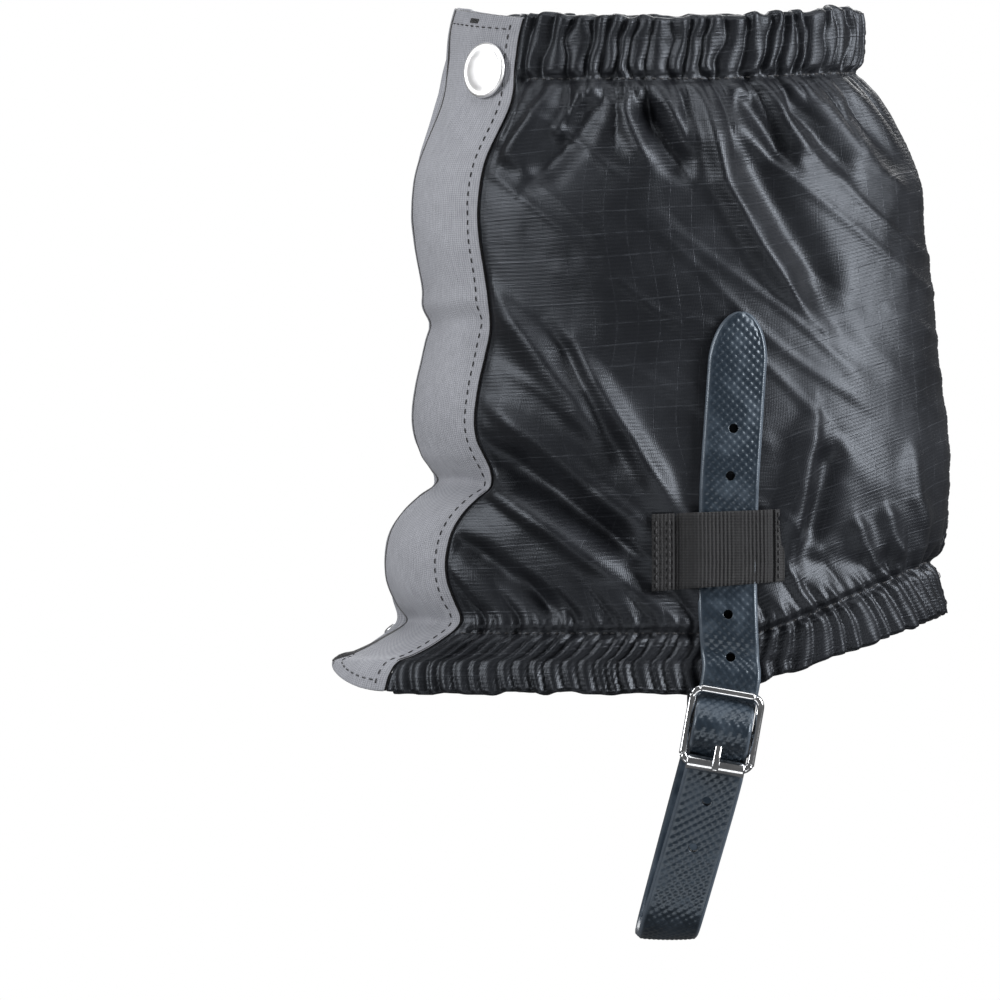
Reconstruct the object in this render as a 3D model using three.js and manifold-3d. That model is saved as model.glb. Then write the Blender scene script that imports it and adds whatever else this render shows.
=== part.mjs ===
// Short ankle gaiter for a left hiking boot, in the shape it takes on the boot and leg.
// Millimetres, +Z up, toe towards -X, buckle (outer) side towards -Y, lowest hem line at Z 0.
import * as THREE from "three";
import { mergeVertices } from "three/addons/utils/BufferGeometryUtils.js";
import Module from "manifold-3d";

const wasm = await Module();
wasm.setup();

// ---- driving dimensions -------------------------------------------------------------------
const TOP = 211; // height of the shell above the lowest hem line
const PLY = 1.2; // one fabric layer
const GAP = 0.3; // air between layers that touch
const TAPE = 1.0; // hook tape and loop tape thickness
const ELASTIC_THICK = 0.8;

const STRAP_WIDTH = 18.4;
const STRAP_THICK = 2.0;
const HOLE_R = 1.5;
const WIRE = 2.4; // buckle frame wire
const BUCKLE_WIDTH = 23.7;
const BUCKLE_HEIGHT = 26;
const BUCKLE_LEAN = 10; // degrees, top towards the heel
const LOOP_LEAN = 16; // degrees, under-foot strap forward of vertical
const ROLLER_R = 2.4;
const BAR_R = 1.2;
const PIVOT = new THREE.Vector3(18.75, -59.8, -12); // middle of the buckle's centre bar
const UNDER_FOOT_Z = -76; // middle of the strap's thickness under the sole

// shell outline by height: [height, value]
const FRONT_X = [
  [0, -106], [9, -102], [15, -90], [21, -82.5], [30, -84], [42, -85], [52, -82], [62, -71],
  [70, -71.5], [84, -77], [98, -75], [112, -72], [126, -73.5], [148, -77], [164, -75.8],
  [178, -71], [193, -67.5], [211, -63.4],
];
const REAR_X = [
  [0, 88], [24, 88.4], [38, 85], [50, 88.5], [75, 90], [98, 87.5], [126, 84.3], [156, 81.3],
  [171, 76], [186, 66], [194, 61], [211, 62.5],
];
const HALF_WIDTH = [
  [0, 54], [20, 54.2], [45, 56], [80, 58], [115, 57.6], [150, 55.2], [175, 51], [194, 46], [211, 46.5],
];
const SEAM_ANGLE = [[0, 142], [50, 141], [112, 139], [164, 136.7], [184, 133], [211, 131.5]];
const LEVELS = [0, 9, 18, 28, 42, 53, 62, 70, 84, 98, 112, 126, 142, 158, 172, 184, 194, 203, 211];
const HEM = 18; // height of each elastic tunnel, which ends on one of the LEVELS
const REAR_RISE = 24.4; // the hem climbs this much from under the ankle bone to the heel
const REAR_RISE_START = 28;
const TOE_RISE = 9.4;
const MEDIAL_SEAM = 155; // degrees from the heel round the inner side to the underlap seam

const FLAP_HINGE_EDGE = 1.035; // room for the strip's sewn edge to turn beside the side panel
const FLAP_FREE_EDGE = 1.96;
const SNAP_LEVEL = 193;
const SNAP_ACROSS = 1.235;
const SNAP_R = 8.5;

const STRAP_MIDDLE_X = [[8, 21], [30, 20.3], [60, 20.8], [80, 21.9], [118, 24.4]];

// ---- colours ------------------------------------------------------------------------------
const SHELL = { colour: 0x1b1c21, roughness: 0.62, metalness: 0 };
const GREY = { colour: 0xa3a7b0, roughness: 0.8, metalness: 0 };
const TAPE_LOOK = { colour: 0x2a2b30, roughness: 0.95, metalness: 0 };
const ELASTIC = { colour: 0x303238, roughness: 0.85, metalness: 0 };
const RUBBER = { colour: 0x33373f, roughness: 0.5, metalness: 0 };
const WEBBING = { colour: 0x18191c, roughness: 0.85, metalness: 0 };
const CHROME = { colour: 0xc9cbd0, roughness: 0.22, metalness: 1 };
const STEEL = { colour: 0xb4b7bc, roughness: 0.35, metalness: 1 };

// ---- small helpers ------------------------------------------------------------------------
const radians = THREE.MathUtils.degToRad;

// smooth curve through a table of [height, value]
function along(table, height) {
  const last = table.length - 1;
  if (height <= table[0][0]) return table[0][1];
  if (height >= table[last][0]) return table[last][1];
  let i = 0;
  while (table[i + 1][0] < height) i += 1;
  const slope = (k) => {
    const low = Math.max(0, k - 1);
    const high = Math.min(last, k + 1);
    return (table[high][1] - table[low][1]) / (table[high][0] - table[low][0]);
  };
  const span = table[i + 1][0] - table[i][0];
  const t = (height - table[i][0]) / span;
  const t2 = t * t;
  const t3 = t2 * t;
  return (2 * t3 - 3 * t2 + 1) * table[i][1] + (t3 - 2 * t2 + t) * span * slope(i)
    + (3 * t2 - 2 * t3) * table[i + 1][1] + (t3 - t2) * span * slope(i + 1);
}

function smooth(low, high, value) {
  return THREE.MathUtils.smoothstep(value, low, high);
}

// the shell's oval at one height: centre, half length, half width
function oval(height) {
  const front = along(FRONT_X, height);
  const rear = along(REAR_X, height);
  return { centre: (front + rear) / 2, half: (rear - front) / 2, wide: along(HALF_WIDTH, height) };
}

function onOval(angle, height, offset) {
  const { centre, half, wide } = oval(height);
  const normal = new THREE.Vector3(Math.cos(angle) * wide, -Math.sin(angle) * half, 0).normalize();
  return new THREE.Vector3(centre + half * Math.cos(angle), -wide * Math.sin(angle), height)
    .addScaledVector(normal, offset);
}

// height of the lower hem round the shell; the angle runs from the heel by the outer side to the toe
function hemHeight(angle) {
  const x = 88 * Math.cos(angle);
  const heel = REAR_RISE * Math.max(0, (x - REAR_RISE_START) / (88 - REAR_RISE_START));
  const toe = TOE_RISE * smooth(142, 180, Math.abs(THREE.MathUtils.radToDeg(angle)));
  return heel + toe;
}

// across: -1..0 inner side, 0..1 outer side, 1..2 front strip, 2..3 front to the inner seam
function angleAcross(across, level) {
  const seam = along(SEAM_ANGLE, level);
  if (across <= 0) return radians(MEDIAL_SEAM * across);
  if (across <= 1) return radians(seam * across);
  if (across <= 2) return radians(seam + (180 - seam) * (across - 1));
  return radians(180 + (180 - MEDIAL_SEAM) * (across - 2));
}

function pointAtLevel(across, level, offset) {
  const angle = angleAcross(across, level);
  const toe = THREE.MathUtils.radToDeg(angle) > 180 ? 2 * Math.PI - angle : angle;
  const hem = hemHeight(toe);
  return onOval(angle, hem + (level / TOP) * (TOP - hem), offset);
}

// straight between the LEVELS, so every layer is faceted alike and the gaps stay even
function shellPoint(across, level, offset) {
  const above = Math.max(1, LEVELS.findIndex((l) => l >= Math.min(level, TOP)));
  const low = LEVELS[above - 1];
  const share = (level - low) / (LEVELS[above] - low);
  return pointAtLevel(across, low, offset).lerp(pointAtLevel(across, LEVELS[above], offset), share);
}

function stationsAcross(from, to) {
  const counts = [[-1, 24], [0, 22], [1, 7], [2, 4]];
  const all = counts.flatMap(([start, count]) => Array.from({ length: count }, (_, i) => start + i / count));
  return [from, ...all.filter((s) => s > from + 0.004 && s < to - 0.004), to];
}

function levelsBetween(from, to) {
  return [from, ...LEVELS.filter((l) => l > from + 0.5 && l < to - 0.5), to];
}

// ---- solids -------------------------------------------------------------------------------
function signedVolume(points, faces) {
  return faces.reduce((sum, [a, b, c]) => sum + points[a].dot(points[b].clone().cross(points[c])) / 6, 0);
}

// end faces of an outline whose second half runs back beside its first, as rungs of a ladder
function ladder(count) {
  const faces = [];
  for (let i = 0; i < count / 2 - 1; i += 1) {
    const across = count - 1 - i;
    faces.push([i, i + 1, across - 1], [i, across - 1, across]);
  }
  return faces;
}

// closed solid swept through equal outlines; caps follow the flat outline given
function sweep(rings, flatOutline, caps = THREE.ShapeUtils.triangulateShape(flatOutline, [])) {
  const count = flatOutline.length;
  const points = rings.flat();
  const end = (rings.length - 1) * count;
  const faces = [];
  for (let r = 0; r < rings.length - 1; r += 1) {
    for (let i = 0; i < count; i += 1) {
      const next = (i + 1) % count;
      const a = r * count + i;
      const b = r * count + next;
      // one diagonal on rising sides and the other on falling ones, so facing layers split alike
      if (flatOutline[next].y >= flatOutline[i].y) {
        faces.push([a, b, b + count], [a, b + count, a + count]);
      } else {
        faces.push([a, b, a + count], [b, b + count, a + count]);
      }
    }
  }
  // the caps must run against the sides, whichever way the outline turns
  const turn = THREE.ShapeUtils.area(flatOutline) > 0 ? 1 : -1;
  const flipped = ([a, b, c]) => [a, c, b];
  const ordered = caps.map((cap) => {
    const corners = cap.map((i) => flatOutline[i]);
    return THREE.ShapeUtils.area(corners) * turn > 0 ? cap : flipped(cap);
  });
  for (const [a, b, c] of ordered) {
    faces.push([a, c, b], [end + a, end + b, end + c]);
  }
  const outward = signedVolume(points, faces) > 0 ? faces : faces.map(flipped);
  const geometry = new THREE.BufferGeometry();
  geometry.setAttribute("position", new THREE.Float32BufferAttribute(points.flatMap((p) => p.toArray()), 3));
  geometry.setIndex(outward.flat());
  return geometry;
}

// piece of the shell: profile is a closed outline of [offset, level], pulled in or out by shift(across)
function wrap(profile, from, to, shift = () => 0, caps = undefined) {
  const rings = stationsAcross(from, to).map((across) =>
    profile.map(([offset, level]) => shellPoint(across, level, offset + shift(across))));
  return sweep(rings, profile.map(([offset, level]) => new THREE.Vector2(offset, level)), caps);
}

function layer(outer, thick, low, high, from, to, shift) {
  const levels = levelsBetween(low, high);
  const profile = [...levels.map((l) => [outer, l]), ...levels.toReversed().map((l) => [outer - thick, l])];
  return wrap(profile, from, to, shift, ladder(profile.length));
}

// point over the shell's outer (side -1) or inner-leg (side 1) face, by x and height
function overSide(x, height, offset, side) {
  const onShell = Math.max(0, height);
  const { centre, half } = oval(onShell);
  const point = onOval(Math.acos((x - centre) / half), onShell, offset);
  return new THREE.Vector3(point.x, point.y * -side, height);
}

// slab lying over a side of the shell: columns of x, rows of height, offset of its inner face
function sideSlab(columns, rows, inner, thick, side) {
  const outline = [...columns.map((_, i) => [i, 1]), ...columns.map((_, i) => [i, 0]).toReversed()];
  const rings = rows.map((row) => outline.map(([i, out]) => {
    const { x, height, lift } = columns[i](row);
    return overSide(x, height, inner(row) + lift + out * thick, side);
  }));
  const flat = outline.map(([i, out]) => new THREE.Vector2(i * 4, out * thick));
  return sweep(rings, flat, ladder(flat.length));
}

// flat band through stations of { at, across (unit vector), up (unit vector out of the flat side) }
function ribbon(stations, width, thick) {
  const corners = [[-1, -1], [1, -1], [1, 1], [-1, 1]];
  const rings = stations.map(({ at, across, out, half }) => corners.map(([a, b]) => at.clone()
    .addScaledVector(across, a * (half ?? width / 2))
    .addScaledVector(out, b * thick / 2)));
  return sweep(rings, corners.map(([a, b]) => new THREE.Vector2(a * width / 2, b * thick / 2)));
}

function solid(geometry) {
  const bare = geometry.clone();
  bare.deleteAttribute("normal");
  bare.deleteAttribute("uv");
  const merged = mergeVertices(bare, 1e-4);
  return new wasm.Manifold(new wasm.Mesh({
    numProp: 3,
    vertProperties: new Float32Array(merged.attributes.position.array),
    triVerts: new Uint32Array(merged.index.array),
  }));
}

function geometryOf(manifold) {
  const mesh = manifold.getMesh();
  const geometry = new THREE.BufferGeometry();
  geometry.setAttribute("position", new THREE.BufferAttribute(mesh.vertProperties, 3));
  geometry.setIndex(new THREE.BufferAttribute(mesh.triVerts, 1));
  return geometry;
}

function cut(geometry, tools) {
  return geometryOf(tools.reduce((body, tool) => body.subtract(solid(tool)), solid(geometry)));
}

function join(geometries) {
  return geometryOf(geometries.slice(1).reduce((body, more) => body.add(solid(more)), solid(geometries[0])));
}

function aimed(geometry, at, direction) {
  const turn = new THREE.Quaternion().setFromUnitVectors(new THREE.Vector3(0, 1, 0), direction);
  return geometry.applyQuaternion(turn).translate(at.x, at.y, at.z);
}

function pin(radius, length, at, direction, sides = 16) {
  return aimed(new THREE.CylinderGeometry(radius, radius, length, sides), at, direction);
}

// turned piece: profile of [radius, height] starting and ending on its axis
function turned(profile, at, direction, sides = 20) {
  const outline = profile.map(([r, h]) => new THREE.Vector2(r, h));
  return aimed(new THREE.LatheGeometry(outline, sides), at, direction);
}

const group = new THREE.Group();

function add(name, geometry, look) {
  const material = new THREE.MeshStandardMaterial({
    color: look.colour,
    roughness: look.roughness,
    metalness: look.metalness,
  });
  const mesh = new THREE.Mesh(geometry, material);
  mesh.name = name;
  group.add(mesh);
}

// ---- shell --------------------------------------------------------------------------------
const HALF_PLY = PLY / 2;
const EDGE = 0.0016; // half of a seam's gap, as a share of one side panel

function addShell() {
  add("lateral_panel", layer(HALF_PLY, PLY, 0, TOP, EDGE, 1), SHELL);
  add("medial_panel", layer(HALF_PLY, PLY, 0, TOP, -1 + EDGE, -EDGE), SHELL);
}

function addRearSeamTape() {
  const outer = -HALF_PLY - GAP;
  add("rear_seam_tape", layer(outer, 0.8, HEM + 3, TOP - HEM - 3, -0.045, 0.045), TAPE_LOOK);
}

// folded-in hem: a wall inside the elastic with a lip that closes over the elastic's edge
function hemProfile(edge, middle, far) {
  const lip = -HALF_PLY - GAP;
  const wall = lip - ELASTIC_THICK - 3 * GAP;
  const back = wall - 0.8;
  const inward = (distance) => edge + Math.sign(far - edge) * distance;
  return [[lip, edge], [lip, inward(1.4)], [wall, inward(1.4)], [wall, middle], [wall, far],
    [back, far], [back, middle], [back, inward(1.2)], [back, inward(0.6)], [back, edge]];
}

function elasticProfile(edge, middle, far) {
  const outer = -HALF_PLY - GAP;
  const near = edge + Math.sign(far - edge) * 2.8;
  const end = far - Math.sign(far - edge) * 1.5;
  return [[outer, near], [outer, middle], [outer, end], [outer - ELASTIC_THICK, end],
    [outer - ELASTIC_THICK, middle], [outer - ELASTIC_THICK, near]];
}

function addHems() {
  const from = -1 + 6 * EDGE;
  const to = 1 - 6 * EDGE;
  const top = [TOP - 0.3, 203, 194];
  const bottom = [0.3, 9, 18];
  const rungs = (profile, start, end) => wrap(profile, start, end, undefined, ladder(profile.length));
  for (const [name, ends] of [["top", top], ["bottom", bottom]]) {
    add(`${name}_hem_facing`, rungs(hemProfile(...ends), from, to), SHELL);
    add(`${name}_elastic`, rungs(elasticProfile(...ends), -1 + 1 / 24, 1 - 1 / 22), ELASTIC);
  }
}

// ---- front closing ------------------------------------------------------------------------
const TAPE_FROM = 1.26;
const TAPE_TO = 1.9;
const TAPE_LOW = 22;
const TAPE_HIGH = 178;
const LOOP_OUT = -HALF_PLY - GAP;
const HOOK_OUT = LOOP_OUT - TAPE - GAP;
const UNDER_OUT = HOOK_OUT - TAPE - GAP;

// the underlap lies under the strip, then comes out to the shell's line at the inner seam
function underlapShift(across) {
  return -UNDER_OUT * smooth(1.94, 2.7, across) + HALF_PLY * smooth(1.94, 2.7, across);
}

function snapFrame() {
  const at = shellPoint(SNAP_ACROSS, SNAP_LEVEL, 0);
  const near = (across, level) => shellPoint(SNAP_ACROSS + across, SNAP_LEVEL + level, 0);
  const aside = near(0.1, 0).sub(near(-0.1, 0));
  const up = near(0, 7).sub(near(0, -7));
  const out = aside.cross(up).normalize();
  return { at, out: out.y > 0 ? out.negate() : out };
}

function addFrontClosing() {
  const { at, out } = snapFrame();
  const flap = layer(HALF_PLY, PLY, 0, TOP, FLAP_HINGE_EDGE, FLAP_FREE_EDGE);
  add("front_flap", cut(flap, [pin(2.2, 6, at, out)]), GREY);
  add("flap_loop_tape", layer(LOOP_OUT, TAPE, TAPE_LOW, TAPE_HIGH, TAPE_FROM, TAPE_TO), TAPE_LOOK);
  add("underlap_hook_tape", layer(HOOK_OUT, TAPE, TAPE_LOW, TAPE_HIGH, TAPE_FROM, TAPE_TO), TAPE_LOOK);
  const under = layer(UNDER_OUT, PLY, 0, TOP, 1.06, 3 - 0.02, underlapShift);
  const through = at.clone().addScaledVector(out, UNDER_OUT);
  add("underlap", cut(under, [pin(1.8, 6, through, out), laceRivetHole()]), GREY);
}

// press stud: cap and socket on the strip, stud and post on the underlap
function addSnap() {
  const { at, out } = snapFrame();
  const cap = [[0, -1.1], [1.8, -1.1], [1.8, 1.2], [SNAP_R - 0.8, 1.2], [SNAP_R, 1.6], [SNAP_R - 0.1, 2.1],
    [SNAP_R - 1, 2.6], [SNAP_R - 2.5, 3.0], [SNAP_R - 5, 3.2], [0, 3.3]];
  add("snap_cap", turned(cap, at, out, 28), CHROME);
  const socket = [[3, -2.4], [6.0, -2.4], [6.2, -1.8], [5.8, -1.25], [3, -1.25], [3, -2.4]];
  add("snap_socket", turned(socket, at, out), STEEL);
  const stud = [[0, -3.3], [5.4, -3.3], [5.4, -2.65], [2.5, -2.65], [2.6, -1.9], [2.0, -1.45], [0, -1.4]];
  add("snap_stud", turned(stud, at, out), STEEL);
  const post = [[0, -6.4], [4.6, -6.4], [4.8, -6.0], [4.6, -5.5], [1.4, -5.5], [1.4, -3.65], [0, -3.65]];
  add("snap_post", turned(post, at, out), STEEL);
}

// lace hook inside the toe end of the underlap: plate, curl and lip bent from one strip of steel
const HOOK_PLATE = 1.2;
const HOOK_MOUTH_R = 3.3;
const HOOK_WIDTH = 8;
const HOOK_ACROSS = 2.28;
const HOOK_LEVEL = 8;
const HOOK_DROP = 2.8; // clearance under the underlap, which curves along the plate

// origin on the underlap's inner face, X down the slope to the toe, Y out of the fabric
function laceHookFrame() {
  const offset = UNDER_OUT - PLY + underlapShift(HOOK_ACROSS);
  const low = shellPoint(HOOK_ACROSS, HOOK_LEVEL - 6, offset);
  const high = shellPoint(HOOK_ACROSS, HOOK_LEVEL + 5, offset);
  const down = low.clone().sub(high).setY(0).normalize();
  const side = new THREE.Vector3(0, 1, 0);
  const out = side.clone().cross(down).normalize();
  return new THREE.Matrix4().makeBasis(down, out, side).setPosition(high);
}

function hookShape() {
  const shape = new THREE.Shape();
  const outer = HOOK_MOUTH_R + HOOK_PLATE;
  const top = -HOOK_DROP;
  shape.moveTo(0, top);
  shape.lineTo(9, top);
  shape.absarc(9, top - outer, outer, Math.PI / 2, -Math.PI / 2, true);
  shape.lineTo(3.4, top - 2 * outer);
  shape.lineTo(3.4, top - 2 * outer + HOOK_PLATE);
  shape.lineTo(9, top - 2 * outer + HOOK_PLATE);
  shape.absarc(9, top - outer, HOOK_MOUTH_R, -Math.PI / 2, Math.PI / 2, false);
  shape.lineTo(0, top - HOOK_PLATE);
  return shape;
}

const RIVET_ALONG = 3.2;

function addLaceHook() {
  const frame = laceHookFrame();
  const bent = new THREE.ExtrudeGeometry(hookShape(), {
    depth: HOOK_WIDTH, bevelEnabled: false, curveSegments: 7,
  });
  bent.translate(0, 0, -HOOK_WIDTH / 2);
  const up = new THREE.Vector3(0, 1, 0);
  const hole = pin(1.55, 2.6, new THREE.Vector3(RIVET_ALONG, -HOOK_DROP - HOOK_PLATE / 2, 0), up);
  add("lace_hook", cut(bent, [hole]).applyMatrix4(frame), STEEL);
  const low = -HOOK_DROP - HOOK_PLATE - GAP;
  const rivet = [[0, low - 0.8], [2.4, low - 0.8], [2.4, low], [1.2, low], [1.2, 3.4], [0, 3.4]];
  const placed = turned(rivet, new THREE.Vector3(RIVET_ALONG, 0, 0), up).applyMatrix4(frame);
  add("lace_hook_rivet", placed, STEEL);
}

function laceRivetHole() {
  const at = new THREE.Vector3(RIVET_ALONG, 1, 0);
  return pin(1.6, 7, at, new THREE.Vector3(0, 1, 0)).applyMatrix4(laceHookFrame());
}

// ---- strap on the outer side ----------------------------------------------------------------
const KEEPER_LOW = 31;
const KEEPER_HIGH = 55;
const MIDDLE_TOP = 57.4;
const TIP_BOTTOM = 58.6;
const TIP_TOP = 118;
const TIP_TAPER = 14;
const HOLE_HEIGHTS_UP = [24, 38.5, 52.8, 66.9, 81.6];
const HOLE_HEIGHTS_DOWN = [-21.8, -36.2]; // on the lower strap, from the buckle's centre bar

// the strap lies on the anchor tab low down and on the bare shell above it
function strapLift(height) {
  return 2.4 - 1.4 * smooth(20, 31, height);
}

function strapHalf(height) {
  const left = TIP_TOP - height;
  if (left >= TIP_TAPER) return STRAP_WIDTH / 2;
  const share = 1 - left / TIP_TAPER;
  return Math.max(0.8, (STRAP_WIDTH / 2) * Math.sqrt(Math.max(0, 1 - share ** 2.2)));
}

function strapSlab(rows) {
  const columns = [-1, -0.34, 0.34, 1].map((side) => (height) => ({
    x: along(STRAP_MIDDLE_X, height) + side * strapHalf(height),
    height,
    lift: 0,
  }));
  return sideSlab(columns, rows, strapLift, STRAP_THICK, -1);
}

function sideHole(height) {
  const at = overSide(along(STRAP_MIDDLE_X, height), height, 0, -1);
  const out = overSide(along(STRAP_MIDDLE_X, height), height, 10, -1).sub(at).normalize();
  return pin(HOLE_R, 16, at, out, 12);
}

function addSideStrap() {
  const middle = strapSlab([8.4, 14, 20, 23.5, 27.5, 31, 39, 48, MIDDLE_TOP]);
  const inMiddle = HOLE_HEIGHTS_UP.filter((height) => height < MIDDLE_TOP);
  add("strap_middle", cut(middle, inMiddle.map(sideHole)), RUBBER);
  const tip = strapSlab([TIP_BOTTOM, 66, 74, 83, 92, 100, 104, 108, 111, 113.5, 115.5, 117, TIP_TOP]);
  const inTip = HOLE_HEIGHTS_UP.filter((height) => height > TIP_BOTTOM);
  add("strap_tip", cut(tip, inTip.map(sideHole)), RUBBER);
}

// sewn flat at both ends, raised over the strap between them
function addKeeper() {
  const profile = [
    [-2.5, 0.9], [3.5, 0.9], [5.5, 1.3], [9.3, 3.3], [15, 3.3],
    [21, 3.3], [27, 3.3], [31.9, 3.3], [35.6, 1.3], [37.4, 0.9],
  ];
  const columns = profile.map(([x, lift]) => (share) => {
    const low = KEEPER_LOW + (x + 2.5) * 0.08;
    const high = KEEPER_HIGH + (x + 2.5) * 0.04;
    return { x, height: low + (high - low) * share, lift };
  });
  add("webbing_keeper", sideSlab(columns, [0, 0.25, 0.5, 0.75, 1], () => 0.35, PLY, -1), WEBBING);
}

// ---- buckle ---------------------------------------------------------------------------------
const lean = radians(BUCKLE_LEAN);
const BUCKLE_UP = new THREE.Vector3(Math.sin(lean), 0, Math.cos(lean));
const BUCKLE_SIDE = new THREE.Vector3(Math.cos(lean), 0, -Math.sin(lean));
const OUTWARD = new THREE.Vector3(0, -1, 0);
const TOP_BAR = BUCKLE_HEIGHT / 2 - WIRE / 2;
const ROLLER_AT = -TOP_BAR + 0.6;

// buckle's own frame: X along the bars, Y out of the strap, Z up the buckle
function inBuckle(geometry) {
  const basis = new THREE.Matrix4().makeBasis(BUCKLE_SIDE.clone().negate(), OUTWARD, BUCKLE_UP);
  return geometry.applyMatrix4(basis.setPosition(PIVOT));
}

function barAcross(radius, length, height, sides = 16) {
  return pin(radius, length, new THREE.Vector3(0, 0, height), new THREE.Vector3(1, 0, 0), sides);
}

function roundedRectangle(path, width, low, high, corner) {
  const side = width / 2;
  path.moveTo(-side + corner, low);
  path.lineTo(side - corner, low);
  path.absarc(side - corner, low + corner, corner, -Math.PI / 2, 0, false);
  path.lineTo(side, high - corner);
  path.absarc(side - corner, high - corner, corner, 0, Math.PI / 2, false);
  path.lineTo(-side + corner, high);
  path.absarc(-side + corner, high - corner, corner, Math.PI / 2, Math.PI, false);
  path.lineTo(-side, low + corner);
  path.absarc(-side + corner, low + corner, corner, Math.PI, 1.5 * Math.PI, false);
  return path;
}

function addBuckleFrame() {
  const low = ROLLER_AT - WIRE / 2;
  const high = TOP_BAR + WIRE / 2;
  const outline = roundedRectangle(new THREE.Shape(), BUCKLE_WIDTH, low, high, 3);
  const window = roundedRectangle(new THREE.Path(), BUCKLE_WIDTH - 2 * WIRE, low + WIRE, high - WIRE, 0.8);
  outline.holes.push(window);
  const ring = new THREE.ExtrudeGeometry(outline, {
    depth: WIRE - 0.8, bevelEnabled: true, bevelThickness: 0.4, bevelSize: 0.4, bevelOffset: -0.4,
    bevelSegments: 1, curveSegments: 4,
  });
  ring.rotateX(Math.PI / 2).translate(0, WIRE / 2 - 0.4, 0);
  const rollerRoom = new THREE.BoxGeometry(BUCKLE_WIDTH - 2 * WIRE, 8, 8).translate(0, 0, ROLLER_AT - 1.2);
  const open = cut(ring, [rollerRoom]);
  const inside = BUCKLE_WIDTH - WIRE;
  const bars = [0, ROLLER_AT].map((height) => barAcross(BAR_R, inside, height));
  add("buckle_frame", inBuckle(join([open, ...bars])), CHROME);
}

function addRoller() {
  const length = BUCKLE_WIDTH - 2 * WIRE - 0.7;
  const bore = barAcross(BAR_R + 0.1, length + 2, ROLLER_AT);
  add("buckle_roller", inBuckle(cut(barAcross(ROLLER_R, length, ROLLER_AT, 20), [bore])), CHROME);
}

// eye round the centre bar, tongue through the strap to the front of the roller
const PRONG_WIDE = 2.2;

function prongShape() {
  const shape = new THREE.Shape();
  shape.absarc(0, 0, BAR_R + 1.2, -0.35 * Math.PI, 1.1 * Math.PI, false);
  shape.lineTo(1.3, -3.2);
  shape.lineTo(2.8, -7.5);
  shape.lineTo(2.9, ROLLER_AT - 1.6);
  shape.lineTo(4.2, ROLLER_AT - 1.6);
  shape.lineTo(4.6, -8);
  shape.lineTo(3.6, -3.6);
  return shape;
}

// a side view drawn out of the strap and up, given its thickness along the bars
function acrossBars(shape, wide) {
  const body = new THREE.ExtrudeGeometry(shape, { depth: wide, bevelEnabled: false, curveSegments: 12 });
  body.translate(0, 0, -wide / 2);
  return body.applyMatrix4(new THREE.Matrix4().makeBasis(
    new THREE.Vector3(0, 1, 0), new THREE.Vector3(0, 0, 1), new THREE.Vector3(1, 0, 0)));
}

function addProng() {
  const body = acrossBars(prongShape(), PRONG_WIDE);
  add("buckle_prong", inBuckle(cut(body, [barAcross(BAR_R + 0.1, 8, 0)])), CHROME);
}

// webbing sewn over the hem, and the end of it folded round the centre bar with a slot for the prong
const TAB_WIDE = 17;

function addAnchor() {
  const columns = [-1, -0.34, 0.34, 1].map((side) => (height) => ({
    x: 20.6 + side * TAB_WIDE / 2, height, lift: 0,
  }));
  add("anchor_tab", sideSlab(columns, [-1.4, 6, 13, 19.2], () => 0.9, PLY, -1), WEBBING);
  const fold = new THREE.Shape();
  const outer = BAR_R + GAP + 1.1;
  fold.absarc(0, 0, outer, -1.02 * Math.PI, 0.35 * Math.PI, false);
  fold.lineTo(-1.8, 6.2);
  fold.lineTo(-3.7, 6.2);
  const slot = new THREE.BoxGeometry(PRONG_WIDE + 1, 12, 8.4).translate(0, 0, -0.6);
  const around = cut(acrossBars(fold, TAB_WIDE), [barAcross(BAR_R + GAP, TAB_WIDE + 2, 0), slot]);
  add("anchor_loop", inBuckle(around), WEBBING);
}

// ---- under-foot strap -----------------------------------------------------------------------
const MEDIAL_Y = 57.2;
const RIVET_Z = PIVOT.z;

// middle line of the strap in the plane it lies in: [sideways Y, height above the pivot]
const BEND = ROLLER_R + GAP + STRAP_THICK / 2;
const OVER_BAR = 4.3;
const LOWER_LINE = [
  [PIVOT.y + 2.6, 17.5], [PIVOT.y + 2.6, TOP_BAR - 1.8], [PIVOT.y + 0.9, 7.4], [PIVOT.y - 3.4, 3.2],
  [PIVOT.y - OVER_BAR, 0], [PIVOT.y - 2.7, -3.4], [PIVOT.y + 2.3, -7.9],
  [PIVOT.y + BEND + 0.1, -10.8], [PIVOT.y + BEND + 0.6, -14],
  [-52.5, -24], [-48.5, -38], [-44.5, -50], [-41.5, -56.5], [-36.5, -61.2], [-29, -63.6],
  [-22, UNDER_FOOT_Z - PIVOT.z], [22, UNDER_FOOT_Z - PIVOT.z],
  [29, -63.6], [36.5, -61.2], [41.5, -56.5], [45, -50], [49.5, -38], [54, -24],
  [MEDIAL_Y - 0.4, -11], [MEDIAL_Y, -6], [MEDIAL_Y, 5.4], [MEDIAL_Y, 7.8], [MEDIAL_Y, 9],
];

// the strap leans with the buckle beside it and further below it; its inner leg runs straight to its rivet
function lowerX(y, height) {
  if (y > 0) return PIVOT.x + Math.tan(radians(LOOP_LEAN - 1)) * height;
  const below = Math.min(0, height + 16);
  return PIVOT.x + Math.tan(lean) * (height - below) + Math.tan(radians(LOOP_LEAN)) * below;
}

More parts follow.
